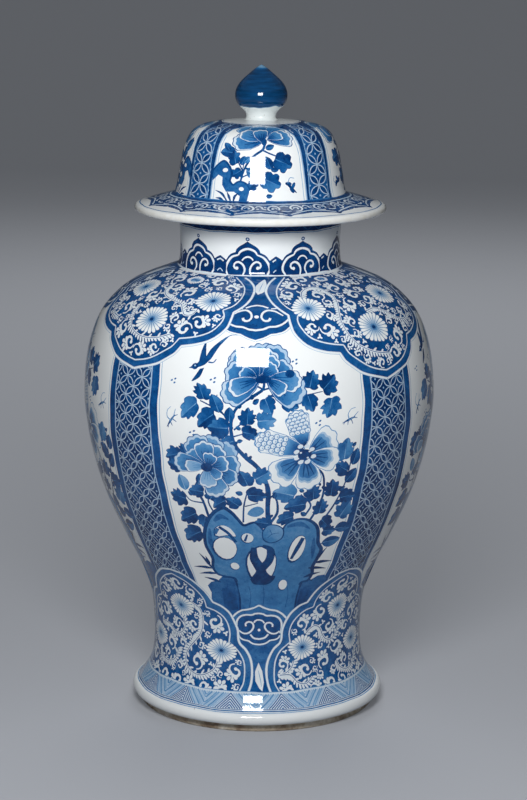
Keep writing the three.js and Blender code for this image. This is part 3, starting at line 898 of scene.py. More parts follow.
def garden(brush):
    """One panel: peonies that grow from a pierced rock, with a swallow, insects and bamboo.
    What lies in front is laid last: stems, buds, leaves, rock, bamboo, then the three flowers."""
    stems = (
        (
            (
                12 + 200j, 9 + 225j, 8 + 245j, 4 + 256j, -3 + 265j, -11 + 272j, -19 + 281j, -23 + 292j,
                -24 + 303j, -21 + 314j, -12 + 323j, -2 + 329j, 4 + 334j, 5 + 341j,
            ),
            (5.5, 4.2, 4.8, 3.4, 4.2, 2.8, 3.4, 2.4, 3, 2),
        ),
        ((4 + 333j, 10 + 334j, 13 + 330j, 10 + 327.5j), (1.6, 1.4, 0.9)),
        ((3 + 334j, -4 + 337j, -7 + 333j), (1.6, 1.0)),
        ((13 + 205j, 19 + 216j, 18 + 226j, 13 + 237j), (2.6, 2.2, 1.6)),
        ((52 + 206j, 58 + 220j, 62 + 235j, 60 + 252j, 50 + 262j), (2.4, 2.2, 1.8)),
        ((66 + 206j, 76 + 222j, 83 + 240j, 86 + 262j, 88 + 277j), (2, 1.6, 1)),
        ((46 + 212j, 50 + 222j, 40 + 234j), (2, 1.4)), ((-21 + 296j, -10 + 306j, 0 + 308j), (1.6, 1.0)),
        ((-24 + 304j, -36 + 314j, -52 + 321j), (2, 1.6, 1.0)),
        ((-30 + 309j, -38 + 322j, -36 + 328j), (1.4, 1.0)), ((-21 + 290j, -12 + 293j), (1.4, 0.8)),
        ((8 + 328j, 30 + 326j, 56 + 330j), (1.6, 1.2, 0.8)), ((34 + 326j, 40 + 331j), (1.2, 0.8)),
        ((-48 + 208j, -52 + 225j, -57 + 240j, -50 + 255j), (2.8, 2.4, 1.8)),
        ((-52 + 224j, -66 + 226j, -70 + 232j), (1.5, 1)),
        ((-42 + 214j, -47 + 226j, -45 + 236j), (1.8, 1.2)),
        ((-14 + 205j, -13 + 222j, -10 + 236j), (1.8, 1.2)), ((-12 + 222j, 0 + 226j), (1.2, 0.8)),
        ((68 + 176j, 78 + 180j), (1.4, 0.8)),
    )
    for path, width in stems:
        brush.stroke(path, width, 0.9)
    for place in (
        9 + 232j, 3 + 258j, -8 + 271j, -21 + 284j, -25 + 297j, -18 + 318j, -7 + 326j, 12 + 212j, 60 + 240j,
        -55 + 238j,
    ):
        brush.fill(blob(place + 1.6, 2.2, 1.5, 50, 8), 0.93)
        brush.fill(blob(place - 2 + 3j, 1.9, 1.3, 120, 8), 0.93)
    leaves = (
        (-49, 330, "cut", 0, 17, 0.9), (-63, 315, "lobed", 113, 21, 0.78),
        (-47, 307, "lobed", 107, 20, 0.92), (-35, 297, "lobed", 92, 21, 0.88),
        (-26, 310, "oval", 4, 16, 0.9), (-11, 309, "cut", 12, 17, 0.92), (-7, 295, "lobed", -84, 16, 0.93),
        (-17, 298, "oval", 30, 6, 0.93), (-27, 285, "lobed", 98, 14, 0.88), (-36, 320, "oval", 8, 21, 0.88),
        (28, 321, "lobed", -92, 16, 0.88), (45, 320, "lobed", 198, 17, 0.9), (47, 341, "cut", -18, 18, 0.9),
        (64, 336, "cut", -62, 20, 0.92), (66, 315, "cut", 188, 20, 0.78), (30, 345, "oval", -20, 8, 0.88),
        (7, 306, "cut", -84, 18, 0.68), (9, 319, "lobed", 208, 17, 0.82), (-66, 276, "cut", 8, 13, 0.92),
        (-79, 270, "cut", 92, 17, 0.93), (-77, 258, "lobed", 98, 15, 0.93), (-69, 243, "oval", 4, 18, 0.62),
        (-53, 247, "oval", -25, 12, 0.92), (-11, 251, "lobed", 8, 17, 0.9), (4, 254, "cut", -62, 18, 0.74),
        (-57, 236, "lobed", 80, 15, 0.93), (-43, 234, "cut", -18, 15, 0.93),
        (-77, 226, "cut", 94, 18, 0.93), (-70, 209, "lobed", 108, 21, 0.93),
        (-22, 226, "lobed", 48, 15, 0.93), (-2, 236, "lobed", -72, 18, 0.92),
        (-1, 218, "oval", 80, 18, 0.56), (25, 237, "lobed", 66, 22, 0.68), (50, 235, "cut", 18, 17, 0.93),
        (71, 238, "cut", -8, 18, 0.93), (88, 229, "lobed", -74, 18, 0.93), (89, 248, "oval", -48, 19, 0.93),
        (91, 267, "oval", -18, 18, 0.93), (77, 256, "lobed", 76, 17, 0.92),
        (77, 275, "lobed", 12, 21, 0.72), (36, 225, "lobed", 84, 21, 0.93),
        (27, 210, "lobed", 96, 17, 0.92), (60, 220, "cut", 4, 16, 0.93), (70, 203, "lobed", 242, 16, 0.93),
        (75, 192, "lobed", 262, 14, 0.92), (90, 196, "oval", -74, 19, 0.88),
        (87, 214, "cut", -24, 20, 0.74), (80, 178, "oval", -92, 21, 0.88),
        (-68, 189, "lobed", 106, 22, 0.93), (-55, 204, "lobed", 150, 15, 0.93),
        (-17, 236, "oval", 60, 8, 0.9), (88, 279, "oval", -20, 6, 0.9), (41, 238, "oval", 40, 6, 0.9),
        (79, 222, "oval", -80, 8, 0.93), (81, 236, "oval", -60, 8, 0.93), (14, 234, "oval", 12, 8, 0.88),
        (-33, 242, "lobed", 160, 14, 0.9), (-64, 232, "oval", 70, 6, 0.9), (-16, 286, "oval", -80, 6, 0.9),
        (-2, 322, "oval", -75, 8, 0.9), (5, 205, "lobed", 80, 14, 0.93), (44, 213, "oval", 80, 8, 0.93),
        (-36, 226, "lobed", 100, 15, 0.93),
    )
    for x, t, kind, lean, length, blue in leaves:
        sprig(brush, x, t, kind, lean, length * 0.86, blue)
    rock(brush)
    bamboo(brush, -1)
    bamboo(brush, 1)
    peony = (
        (4 + 346j, -8, 27, 1.2, 0.25, 0.66, 5), (-10 + 346j, 22, 23, 1.0, 0.2, 0.86, 4),
        (2 + 344j, -38, 32, 0.8, 0.26, 0.9, 4), (4 + 346j, -12, 23, 0.9, 0.14, 0.84, 3),
        (-2 + 345j, 18, 22, 0.95, 0.16, 0.8, 3), (-2 + 344j, 48, 29, 0.75, 0.2, 0.84, 3),
        (0 + 342j, 76, 30, 0.66, 0.2, 0.88, 3), (6 + 344j, -68, 24, 0.8, 0.2, 0.9, 3),
        (4 + 345j, -26, 20, 0.9, 0.14, 0.88, 3), (1 + 345j, 6, 19, 0.9, 0.12, 0.84, 3),
        (0 + 344j, 40, 18, 0.9, 0.14, 0.86, 3), (-1 + 343j, 74, 17, 0.8, 0.16, 0.9, 3),
        (3 + 345j, -52, 15, 0.9, 0.14, 0.9, 3), (2 + 343j, 118, 37, 0.62, 0.2, 0.84, 4),
        (0 + 342j, 110, 27, 0.6, 0.1, 0.8, 3), (6 + 343j, -118, 37, 0.74, 0.24, 0.84, 4),
        (8 + 343j, -98, 29, 0.66, 0.1, 0.8, 4), (7 + 342j, -126, 20, 0.6, 0.1, 0.86, 3),
    )
    flower(brush, peony)
    brush.fill(blob(4 + 342j, 7, 3.6), 0.95)
    brush.fill(blob(27 + 347j, 4.4, 3.8, 20, 10), 0.93)
    left_peony = (
        (-44 + 261j, -48, 30, 0.8, 0.3, 0.6, 5), (-45 + 262j, -12, 28, 0.8, 0.26, 0.66, 4),
        (-47 + 263j, 24, 27, 0.9, 0.22, 0.84, 4), (-47 + 262j, 60, 20, 0.8, 0.24, 0.8, 3),
        (-43 + 261j, -82, 27, 0.66, 0.2, 0.9, 3), (-43 + 260j, -116, 26, 0.6, 0.2, 0.86, 3),
        (-46 + 259j, -158, 29, 0.74, 0.16, 0.68, 4), (-46 + 260j, -178, 20, 0.8, 0.12, 0.5, 3),
        (-45 + 262j, -32, 22, 0.8, 0.14, 0.86, 3), (-46 + 263j, 6, 21, 0.9, 0.12, 0.84, 3),
        (-45 + 261j, -76, 19, 0.8, 0.12, 0.84, 3), (-45 + 260j, -130, 15, 0.7, 0.12, 0.74, 3),
        (-48 + 262j, 88, 29, 0.62, 0.2, 0.82, 4), (-48 + 261j, 96, 19, 0.6, 0.12, 0.5, 3),
        (-46 + 261j, -20, 13, 1.0, 0.12, 0.88, 3),
    )
    flower(brush, left_peony)
    brush.fill(blob(-47 + 260j, 5.5, 4.5), 0.96)
    blossom = (
        (44 + 275j, -58, 29, 0.86), (44 + 272j, -102, 29, 0.8), (42 + 269j, -168, 29, 0.85),
        (38 + 269j, 128, 30, 0.9),
    )
    for place, lean, size, wide in blossom:
        brush.lay(petal(wide, 0.03, 0.76, 3, 0.5, True), place, lean, size)
        for swing in (-16, 2, 18):
            tip = place + 0.62j * size * np.exp(1j * math.radians(lean + swing))
            brush.stroke((place, (place + tip) / 2, tip), (2, 1.6, 0.4), 0.9)
    for place, lean, size, wide in ((42 + 276j, 74, 47, 0.44), (40 + 280j, 14, 34, 0.62)):
        scales = petal(wide, 0.04, 0.86, 5, 0.55)
        scales[2:] = [(scales[2][0], 0.93, (0.12j, 0.66j, 0.16))]
        brush.lay(scales, place, lean, size)
        ahead = np.exp(1j * math.radians(lean))
        for row, along in enumerate((0.9, 0.81, 0.72, 0.63, 0.54, 0.45)):
            for side in (-1.6, -0.55, 0.55, 1.6) if row % 2 else (-1.1, 0, 1.1):
                middle = place + size * ahead * (1j * along + side * wide * 0.21)
                brush.fill(blob(middle, 2.9, 2.6, lean, 10), 0.66)
                brush.fill(
                    blob(middle, 2.3, 2.0, lean, 10), 0.04,
                    (middle - 2j * ahead, middle + 2j * ahead, 0.12),
                )
                brush.fill(blob(middle - 0.8j * ahead, 1.0, 0.6, lean, 7), 0.4)
    for place in (33 + 276j, 36 + 281j, 42 + 281j, 47 + 278j, 34 + 270j, 38 + 266j, 44 + 266j, 49 + 271j):
        brush.fill(blob(place, 2.6, 2.0, 20, 9), 0.1)
    brush.fill(blob(41 + 273j, 6.5, 5.2), 0.95)
    for place in (37 + 275j, 44 + 270j, 45 + 276j):
        brush.fill(blob(place, 1.1, 0.9, 0, 7), 0.1)
    bird(brush, -52 + 355j)
    insect(brush, -78 + 301j, 20)
    insect(brush, 82 + 302j, -15)
    for place in (-58 + 292j, 53 + 302j, 33 + 358j, -78 + 337j, -40 + 341j):
        for aside in (-2 + 0j, 1.5 + 1.5j, 1 - 2j):
            brush.fill(blob(place + aside, 1.3, 0.8, 30, 7), 0.72)


wall_brush = Brush(wall)
quarters = (0, 90, 180, 270)


def lobed(*curves):
    """An edge made of smooth curves that meet in cusps"""
    return np.concatenate([smooth_path(curve, 2.5) for curve in curves])


def across_turn(curves, reference, widened=1.0):
    """Curves given in degrees of turn and mm, with the degrees turned to mm at a reference radius"""
    per_degree = reference * math.pi / 180 * widened
    return [[complex(degrees * per_degree, t) for degrees, t in curve] for curve in curves]


def diaper(brush, left, right, low, high, start, across=9.5, up=8.85):
    """Linked circles: pale lines between lens-shaped petals on a dark ground, with a dot in each circle"""
    for column in range(math.ceil((left - start.real) / across), int((right - start.real) // across) + 1):
        for row in range(math.ceil((low - start.imag) / up), int((high - start.imag) // up) + 1):
            place = start + column * across + 1j * row * up
            if (column + row) % 2:
                brush.fill(blob(place, 1.0, count=7), 0.35)
                continue
            for side in (-1, 1):
                ahead = side * across + 1j * up
                brush.fill(arcs([place, place + ahead], [0.235], 5), 0.22)
                brush.fill(arcs([place + 0.08 * ahead, place + 0.92 * ahead], [0.192], 4), 0.92)


# The band of linked circles between each two panels, and the panels' dark frames and white fields.
# The half widths of a field are pairs of height and width.
panel_reference, band_reference = 160, 165
field_half_widths = np.array(
    ((95, 66), (105, 72), (120, 84), (150, 89.5), (200, 92.5), (330, 95.5), (400, 96))
)
band_ground = np.array((-33 + 95j, 33 + 95j, 33 + 372j, -33 + 372j))
for quarter in quarters:
    brush = wall_brush.face(quarter + 45.9, band_reference)
    brush.fill(band_ground, 0.96)
    diaper(brush, -30, 30, 104, 352, -7.5 + 318j)
for quarter in quarters:
    brush = wall_brush.face(quarter + 0.9, panel_reference)
    levels = np.linspace(95, 400, 50)
    half = np.interp(levels, *field_half_widths.T)
    for wider, blue in ((9.3, 0.28), (8, 0.85), (0, 0.0)):
        brush.fill(both_sides(half + wider + 1j * levels), blue)
    for side in (-1, 1):
        brush.stroke((side * (half - 2.2) + 1j * levels)[::4], 0.8, 0.3, 6)
    garden(wall_brush.face(quarter, panel_reference))


def frond(brush, path, wide=2.2):
    """A feathered stem in reserve: a white line with a blue vein, and tongues that lean forward"""
    points = smooth_path(path, 2.7)
    ahead = np.gradient(points)
    ahead /= np.abs(ahead)
    for i, (place, direction) in enumerate(zip(points, ahead)):
        for side in (-1, 1):
            if side > 0 and i % 3:
                continue
            grown = 1 + 0.25 * math.sin(0.9 * i)
            lean = math.degrees(np.angle(direction)) + 44 * side
            aside = 1j * side * direction * 0.7
            middle = aside + 2.2 * grown * np.exp(1j * math.radians(lean))
            brush.lay([(blob(middle, 2.6 * grown, 1.1, lean + 9 * side, 9), 0.06, None)], place)
    brush.stroke(path, wide, 0.05)
    brush.stroke(path, wide * 0.3, 0.75)


def fill_with_scrolls(brush, edge, kept, largest=9.0, smallest=2.5):
    """Curled leaves in what room is left inside an edge, the largest first. kept holds places and radii that
    stay clear."""
    x = np.arange(edge.real.min(), edge.real.max(), 1.3)
    t = np.arange(edge.imag.min(), edge.imag.max(), 1.3)
    grid = (x[None, :] + 1j * t[:, None]).ravel()
    swing = np.angle((np.roll(edge, -1)[None] - grid[:, None]) / (edge[None] - grid[:, None])).sum(axis=1)
    grid = grid[np.abs(swing) > 1]
    narrow = 1 / brush.squeeze(grid.imag)

    def away(place):
        apart = grid - place
        return np.hypot(apart.real * narrow, apart.imag)

    room = np.full(len(grid), np.inf)
    for place in edge[::2]:
        room = np.minimum(room, away(place) - 0.9)
    for place, reach in kept:
        room = np.minimum(room, away(place) - reach)
    count = 0
    while True:
        i = int(room.argmax())
        size = min(room[i] - 0.3, largest)
        if size < smallest:
            return
        shapes = scroll_leaf(5 if size > 5 else 4) if size > 3.3 else scroll_bud()
        brush.lay(shapes, grid[i], 137 * count, size, count % 2 == 1)
        room = np.minimum(room, away(grid[i]) - size + 0.1)
        count += 1


def white_line(brush, curve):
    """A line left white where two washes meet, with a thin blue edge"""
    brush.stroke(curve, 3.6, 0.3, 2.5)
    brush.stroke(curve, 2.7, 0.03, 2.5)


def lappet(brush, outer, inner, flowers, fronds, ground, tilt=0.0):
    """A hanging or standing lappet: a blue band between two white lines, round chrysanthemums and scrolls.
    The curves are one half, from the root of the lappet to its tip."""
    top = max(p.imag for p in outer[-1] + outer[0])
    base = min(p.imag for p in outer[-1] + outer[0])
    root = outer[0][0].imag

    def tilted(points):
        points = np.asarray(points, complex)
        return points + 1j * tilt * np.abs(points.imag - root) / (top - base)

    for side in (1, -1):
        for curve in outer:
            white_line(brush, tilted(flipped(curve, side)))
    brush.fill(tilted(both_sides(lobed(*outer))), ground - 0.06)
    edge = tilted(both_sides(lobed(*inner)))
    brush.fill(edge, ground)
    for side in (1, -1):
        for curve in inner:
            brush.stroke(tilted(flipped(curve, side)), 1.3, 0.1, 2.5)
        for curve in outer:
            brush.stroke(tilted(flipped(curve, side)), 1.0, 0.08, 2.5)
    kept = []
    for path in fronds:
        path = tilted(path)
        frond(brush, path)
        kept += [(place, 2.6) for place in smooth_path(path, 3)]
    for x, t, across, along in flowers:
        place = tilted([x + 1j * t])[0]
        across /= brush.squeeze(t)[0]
        brush.lay(chrysanthemum(across, along), place)
        kept += [(place, max(across, along) * 0.98)]
    fill_with_scrolls(brush, edge, kept)


# The shoulder: a ground of blue round the clouds, and four lappets that hang from the neck.
lappet_reference = 120
upper_outer = across_turn(
    (
        (
            (33.5, 462), (37, 455), (39.5, 446), (40.3, 438), (39.6, 428), (37.9, 418.5), (35.8, 411),
            (32.9, 404.5),
        ),
        ((32.9, 404.5), (32.6, 396), (31.9, 387), (29.6, 379), (26.5, 373), (21.5, 368), (17, 366)),
        ((17, 366), (15.4, 359), (12.9, 353), (9.9, 347.5), (7, 344.5), (2.5, 341), (0, 339)),
    ),
    lappet_reference, 1.04,
)
upper_inner = across_turn((
    ((28, 462), (33, 451), (35.2, 442), (35.8, 433), (35, 423), (32.5, 412.5), (28.9, 406.5)),
    ((28.9, 406.5), (30, 398.5), (29, 389), (26.8, 382), (22.8, 376.5), (19.5, 374), (15.5, 372.5)),
    ((15.5, 372.5), (13.8, 365), (11, 358.5), (8, 353), (4, 348.5), (0, 346)),
), lappet_reference, 1.04)
cloud_edge = (
    (0 + 378j, 6 + 379.5j, 10 + 381j, 15 + 383.5j),
    (15 + 383.5j, 20 + 384j, 27 + 386j, 34 + 391j),
)
cloud_aside = -3
leaf_reference = 95
for quarter in quarters:
    brush = wall_brush.face(quarter, panel_reference)
    for side in (1, -1):
        for curve in cloud_edge:
            white_line(brush, flipped(curve, side, cloud_aside))
    ground = np.concatenate([lobed(*cloud_edge), [60 + 391j, 60 + 466j]])
    brush.fill(both_sides(ground) + cloud_aside, 0.84, (0 + 378j, 0 + 466j, 0.88))
    for side in (1, -1):
        for path, width in (
            ((0 + 387.3j, 7 + 388.2j, 13 + 390.6j), 1.9),
            ((13 + 390.6j, 20 + 391j, 27 + 393.5j, 36 + 400j), 1.9),
            (
                (
                    28 + 402j, 19 + 407.5j, 11 + 408.5j, 6 + 405j, 5 + 400.5j, 8 + 397j, 12.5 + 397.5j,
                    14 + 400j,
                ),
                (1.2, 1.8, 2, 1.8, 2.4),
            ),
            ((26 + 411j, 16 + 410.4j), 1.3), ((13 + 411.5j, 7 + 414j, 0 + 415.2j), 1.6),
        ):
            brush.stroke(flipped(path, side, cloud_aside), width, 0.05, 2)
    brush.fill(blob(cloud_aside + 401.2j, 2.4, 1.7), 0.03)
    brush = wall_brush.face(quarter + 0.8, leaf_reference)
    white_leaf = (
        -2.5 + 431j, -5 + 439j, -4.2 + 448j, -0.5 + 455j, 3.2 + 459j, 5.2 + 451j, 4.4 + 442j, 1 + 434j,
        -2.5 + 431j,
    )
    brush.fill(smooth_path(white_leaf, 2)[:-1], 0.05)
    brush.stroke((-1.5 + 436j, 0 + 444j, 2 + 453j), (0.3, 0.8, 0.3), 0.45)
left_flowers = ((3, 388, 15, 14.5), (51, 418, 16, 14), (-42, 423, 18, 14), (10, 450, 12, 7))
right_flowers = ((-53, 412, 15, 14.5), (-1, 386, 15, 15), (40, 418, 18, 14), (-12, 455, 10, 5))
right_fronds = (
    (
        -55 + 425j, -52 + 435j, -42 + 441j, -30 + 440j, -23 + 430j, -23 + 418j, -27 + 405j, -29 + 395j,
        -28 + 383j, -23 + 374j, -10 + 364j, 6 + 360j,
    ),
    (0 + 402j, 10 + 404j, 22 + 398j, 30 + 390j, 42 + 386j, 52 + 390j),
)
left_fronds = (
    (41 + 405j, 38 + 398j, 31 + 397j, 27 + 403j, 23 + 409j, 15 + 412j, 2 + 416j, -8 + 424j, -12 + 436j),
    (-20 + 402j, -19 + 388j, -14 + 377j, -2 + 370j, 14 + 370j, 26 + 376j),
    (-45 + 404j, -52 + 396j, -50 + 386j, -38 + 382j),
)
for quarter, tilt in zip(quarters, (-4, 3, -3, 4)):
    brush = wall_brush.face(quarter + 45.45, lappet_reference)
    inside = (right_flowers, right_fronds) if quarter in (0, 180) else (left_flowers, left_fronds)
    lappet(brush, upper_outer, upper_inner, *inside, 0.86, tilt)

# The waist: a blue ground with a cloud and an upright leaf under each panel, and four lappets that stand on
# the foot.
waist_reference = 105
lower_outer = across_turn((
    ((38.7, 20), (40.4, 30), (40.9, 42), (39.8, 52), (37.1, 61), (33.8, 67), (33, 71)),
    ((33, 71), (32.7, 80), (31.1, 88), (28.4, 97), (24.6, 103), (20.4, 106)),
    ((20.4, 106), (19, 111), (16.4, 119), (13.6, 125), (10.4, 130), (7, 134), (0, 137)),
), waist_reference)
lower_inner = (
    (63 + 20j, 66.5 + 27j, 68 + 39j, 66.5 + 51j, 62 + 59j, 56 + 64.5j, 52 + 67.5j),
    (52 + 67.5j, 53 + 76j, 51 + 85j, 46 + 92.5j, 39 + 97.5j, 30 + 100.5j),
    (30 + 100.5j, 29 + 107j, 26 + 113.5j, 20 + 121j, 11.5 + 127.5j, 0 + 132.5j),
)
cloud_top = ((27 + 91j, 21.5 + 97j, 16 + 100.3j, 9.5 + 101.8j), (9.5 + 101.8j, 4.5 + 104j, 0 + 107j))
for quarter in quarters:
    brush = wall_brush.face(quarter + 1.1, waist_reference)
    ground = np.concatenate([[44 + 20j, 44 + 91j], lobed(*cloud_top)])
    brush.fill(both_sides(ground), 0.8, (0 + 20j, 0 + 60j, 0.76))
    for x, t, across, along in ((-15, 58, 7, 11), (4, 58, 8, 6), (17, 50, 6, 12)):
        brush.fill(blob(x + 1j * t, across, along), 0.7, (x + 1j * (t - along), x + 1j * (t + along), 0.8))
    inner_cloud = np.concatenate(
        [
            smooth_path(curve, 2)
            for curve in (
                (0 + 65.9j, 6.2 + 66.9j, 10.5 + 69.6j), (10.5 + 69.6j, 16 + 70.6j, 19.6 + 73j, 20.6 + 77j),
                (20.6 + 77j, 22 + 82j, 21.9 + 87.5j),
                (21.9 + 87.5j, 20.4 + 91j, 17.3 + 94j, 12.7 + 95.5j, 6.5 + 95.6j),
                (6.5 + 95.6j, 4.5 + 97.1j, 0 + 98.1j),
            )
        ]
    )
    brush.fill(both_sides(inner_cloud), 0.86)
    for side in (1, -1):
        for path, width in (
            (cloud_top[0], 1.8), (cloud_top[1], 1.8), (inner_cloud[: len(inner_cloud) * 2 // 5], 1.5),
            (inner_cloud[len(inner_cloud) * 2 // 5 :], 1.8),
            (
                (
                    19.9 + 79.3j, 16.7 + 77j, 12.7 + 76.6j, 8.2 + 79j, 5.6 + 83.4j, 6.9 + 87.2j,
                    10.1 + 88.3j, 13.4 + 86.4j, 13.2 + 83.8j,
                ),
                (1.3, 1.8, 1.8, 1.6),
            ),
            ((5.2 + 87.4j, 3.2 + 90j, 0 + 90.7j), 1.6), ((8.8 + 75.8j, 5.5 + 72.4j, 0 + 71.2j), 1.7),
        ):
            brush.stroke(flipped(path, side), width, 0.06, 2)
    brush.fill(blob(0 + 80j, 1.4), 0.05)
    brush.fill((0 + 48.5j, -3.2 + 40j, -3.2 + 31j, 0.5 + 24j, 3.4 + 21.5j, 5 + 30j, 3.8 + 40j), 0.04)
    brush.stroke((0 + 41j, 1.6 + 33j, 2.6 + 26j), (0.3, 0.9, 0.3), 0.4)
left_low_flowers = ((0, 97, 15, 12), (44, 58, 16, 11.5), (-44, 58, 16, 11.5))
right_low_flowers = ((1, 97, 14, 12), (-39, 61, 15, 12), (32, 57, 16, 11.5))
right_low_fronds = (
    (-36 + 74j, -32 + 78j, -26 + 80j, -20 + 77j, -16 + 70j, -12 + 65j, -5 + 63j, 1 + 67j, 5 + 76j, 3 + 84j),
    (4 + 41j, 10 + 33j, 20 + 29j, 30 + 31j, 38 + 38j, 40 + 45j),
    (-64 + 38j, -58 + 37j, -51 + 41j, -48 + 48j),
    (-62 + 36j, -52 + 35j, -44 + 27j, -36 + 25j, -28 + 31j),
)
left_low_fronds = (
    (
        12 + 104j, 22 + 98j, 25 + 88j, 24 + 78j, 20 + 70j, 13 + 62j, 5 + 54j, 2 + 45j, 7 + 36j, 17 + 32j,
        29 + 34j, 37 + 40j, 40 + 47j,
    ),
    (-37 + 74j, -22 + 73j, -12 + 68j, -3 + 69j, 2 + 75j, 1 + 83j),
    (-42 + 46j, -36 + 38j, -22 + 36j, -12 + 42j, -8 + 52j),
)
for quarter in quarters:
    brush = wall_brush.face(quarter + 46.5, waist_reference)
    right_hand = quarter in (0, 180)
    inside = (right_low_flowers, right_low_fronds) if right_hand else (left_low_flowers, left_low_fronds)
    lappet(brush, lower_outer, lower_inner, *inside, 0.79)


# The foot: a hatched chevron border, two blue lines and a white lip.
def hoop(brush, low, high, blue):
    """A band right round the piece, whose ends overlap a little"""
    overlap = 4
    half = brush.reference * math.pi + overlap
    x = np.linspace(-half, half, 160)
    brush.fill(np.concatenate([x + 1j * low, x[::-1] + 1j * high]), blue)


foot_reference = 110
chevrons = 14
first_peak = -13.1
hatch_gap, hatch_low, hatch_high = 2.4, 4.2, 18.6
hatch_slope = math.tan(math.radians(48))
shortest_hatch = 0.6
wall_brush.face(0, foot_reference)
for low, high, blue in (
    (2.2, 20.6, 0.12), (19.0, 20.5, 0.12), (20.3, 20.9, 0.55), (3.2, 3.8, 0.8), (1.2, 2.4, 0.72),
    (-0.6, 0.4, 0.5),
):
    hoop(wall_brush, low, high, blue)
half_chevron = foot_reference * math.pi / chevrons
hatch_reach = (hatch_high - hatch_low) / hatch_slope
for k in range(-1, chevrons + 1):
    peak = math.radians(first_peak + 360 / chevrons * k) * foot_reference
    for side in (-1, 1):
        for n in range(-6, 12):
            start = n * hatch_gap
            near, far = np.clip([start, start + hatch_reach], 0, half_chevron)
            if far - near < shortest_hatch:
                continue
            top, bottom = (
                complex(peak + side * x, hatch_high - (x - start) * hatch_slope)
                for x in (near, far)
            )
            width, blue = (0.95, 0.76) if n <= 0 else (1.6, 0.38 + 0.14 * math.sin(2.3 * n + k))
            wall_brush.stroke((top, (top + bottom) / 2, bottom), width, blue, 5)


# Glaze over cobalt: the blue is ground cobalt ore in water, brushed on the raw clay, so its strength clouds
# and pools within each wash and specks where it heaps. The clear glaze over it is glossy and very faintly
# uneven. It is rubbed to a dull cream along the brim's lip, and a few grains of iron show through it as
# brown specks.
cobalt_colours = (
    (0, "#e9edee"), (0.2, "#b4cade"), (0.4, "#7aa6cd"), (0.6, "#3f7fb5"), (0.8, "#11528f"), (1, "#052f62"),
)
cream, iron_brown = linear("#cfc6ae"), linear("#574a3f")
pool_size, stroke_size, heap_size = 22 * mm, 5 * mm, 1.6 * mm
cover_from, cover_to = 466 * mm, 470 * mm
rubbed_from, rubbed_to, wear_size = 115.5 * mm, 118.5 * mm, 7 * mm
iron_apart = 19 * mm
ripple_size, ripple_height = 16 * mm, 0.2 * mm
glaze = new_material("cobalt_painted_porcelain")
place_on_jar = add_node(glaze, "ShaderNodeTexCoord").outputs["Object"]
brushed = add_node(glaze, "ShaderNodeAttribute", {"attribute_name": "cobalt"}).outputs["Fac"]
pools = add_node(glaze, "ShaderNodeTexNoise", Vector=place_on_jar, Scale=1 / pool_size)
pooling = add_node(glaze, "ShaderNodeMath", {"operation": "MULTIPLY_ADD"}, _0=pools, _1=0.36, _2=0.82)
hairs = add_node(
    glaze, "ShaderNodeTexNoise", Vector=place_on_jar, Scale=1 / stroke_size, Detail=4.0, Roughness=0.6
)
strokes = add_node(glaze, "ShaderNodeMath", {"operation": "MULTIPLY_ADD"}, _0=hairs, _1=0.4, _2=0.8)
clouded = add_node(glaze, "ShaderNodeMath", {"operation": "MULTIPLY"}, _0=pooling, _1=strokes)
washed = add_node(glaze, "ShaderNodeMath", {"operation": "MULTIPLY"}, _0=brushed, _1=clouded)
heaps = add_node(glaze, "ShaderNodeTexNoise", Vector=place_on_jar, Scale=1 / heap_size, Detail=1.0)
heaped = add_node(glaze, "ShaderNodeMapRange", Value=heaps, From_Min=0.62, From_Max=0.74, To_Max=0.14)
strength = add_node(glaze, "ShaderNodeMath", {"operation": "MULTIPLY_ADD"}, _0=heaped, _1=brushed, _2=washed)
painted = add_node(glaze, "ShaderNodeValToRGB", stops=cobalt_colours, Fac=strength)
height = add_node(glaze, "ShaderNodeSeparateXYZ", Vector=place_on_jar).outputs["Z"]
around_axis = add_node(
    glaze, "ShaderNodeVectorMath", {"operation": "MULTIPLY"}, _0=place_on_jar, _1=(1, 1, 0),
)
radius = add_node(glaze, "ShaderNodeVectorMath", {"operation": "LENGTH"}, _0=around_axis).outputs["Value"]
on_cover = add_node(glaze, "ShaderNodeMapRange", Value=height, From_Min=cover_from, From_Max=cover_to)
near_edge = add_node(
    glaze, "ShaderNodeMapRange", Value=radius, From_Min=rubbed_from, From_Max=rubbed_to, To_Max=0.55,
)
lip = add_node(glaze, "ShaderNodeMath", {"operation": "MULTIPLY"}, _0=on_cover, _1=near_edge)
wear = add_node(glaze, "ShaderNodeTexNoise", Vector=place_on_jar, Scale=1 / wear_size, Detail=3.0)
worn = add_node(glaze, "ShaderNodeMath", {"operation": "MULTIPLY_ADD"}, _0=wear, _1=1.6, _2=-0.1)
rubbed = add_node(glaze, "ShaderNodeMath", {"operation": "MULTIPLY"}, _0=lip, _1=worn)
creamy = add_node(glaze, "ShaderNodeMix", {"data_type": "RGBA"}, Factor=rubbed, _6=painted, _7=cream)
grains = add_node(
    glaze, "ShaderNodeTexVoronoi", Vector=place_on_jar, Scale=1 / iron_apart,
).outputs["Distance"]
iron = add_node(
    glaze, "ShaderNodeMapRange", Value=grains, From_Min=0.021, From_Max=0.032, To_Min=0.8, To_Max=0.0,
)
specked = add_node(
    glaze, "ShaderNodeMix", {"data_type": "RGBA"}, Factor=iron, _6=creamy.outputs[2], _7=iron_brown
)
ripples = add_node(glaze, "ShaderNodeTexNoise", Vector=place_on_jar, Scale=1 / ripple_size, Detail=1.0)
rippled = add_node(glaze, "ShaderNodeBump", Height=ripples, Strength=0.1, Distance=ripple_height)
glaze_shader = add_node(
    glaze, "ShaderNodeBsdfPrincipled", Base_Color=specked.outputs[2], Roughness=0.045, IOR=1.5, Normal=rippled
)
add_node(glaze, "ShaderNodeOutputMaterial", Surface=glaze_shader)

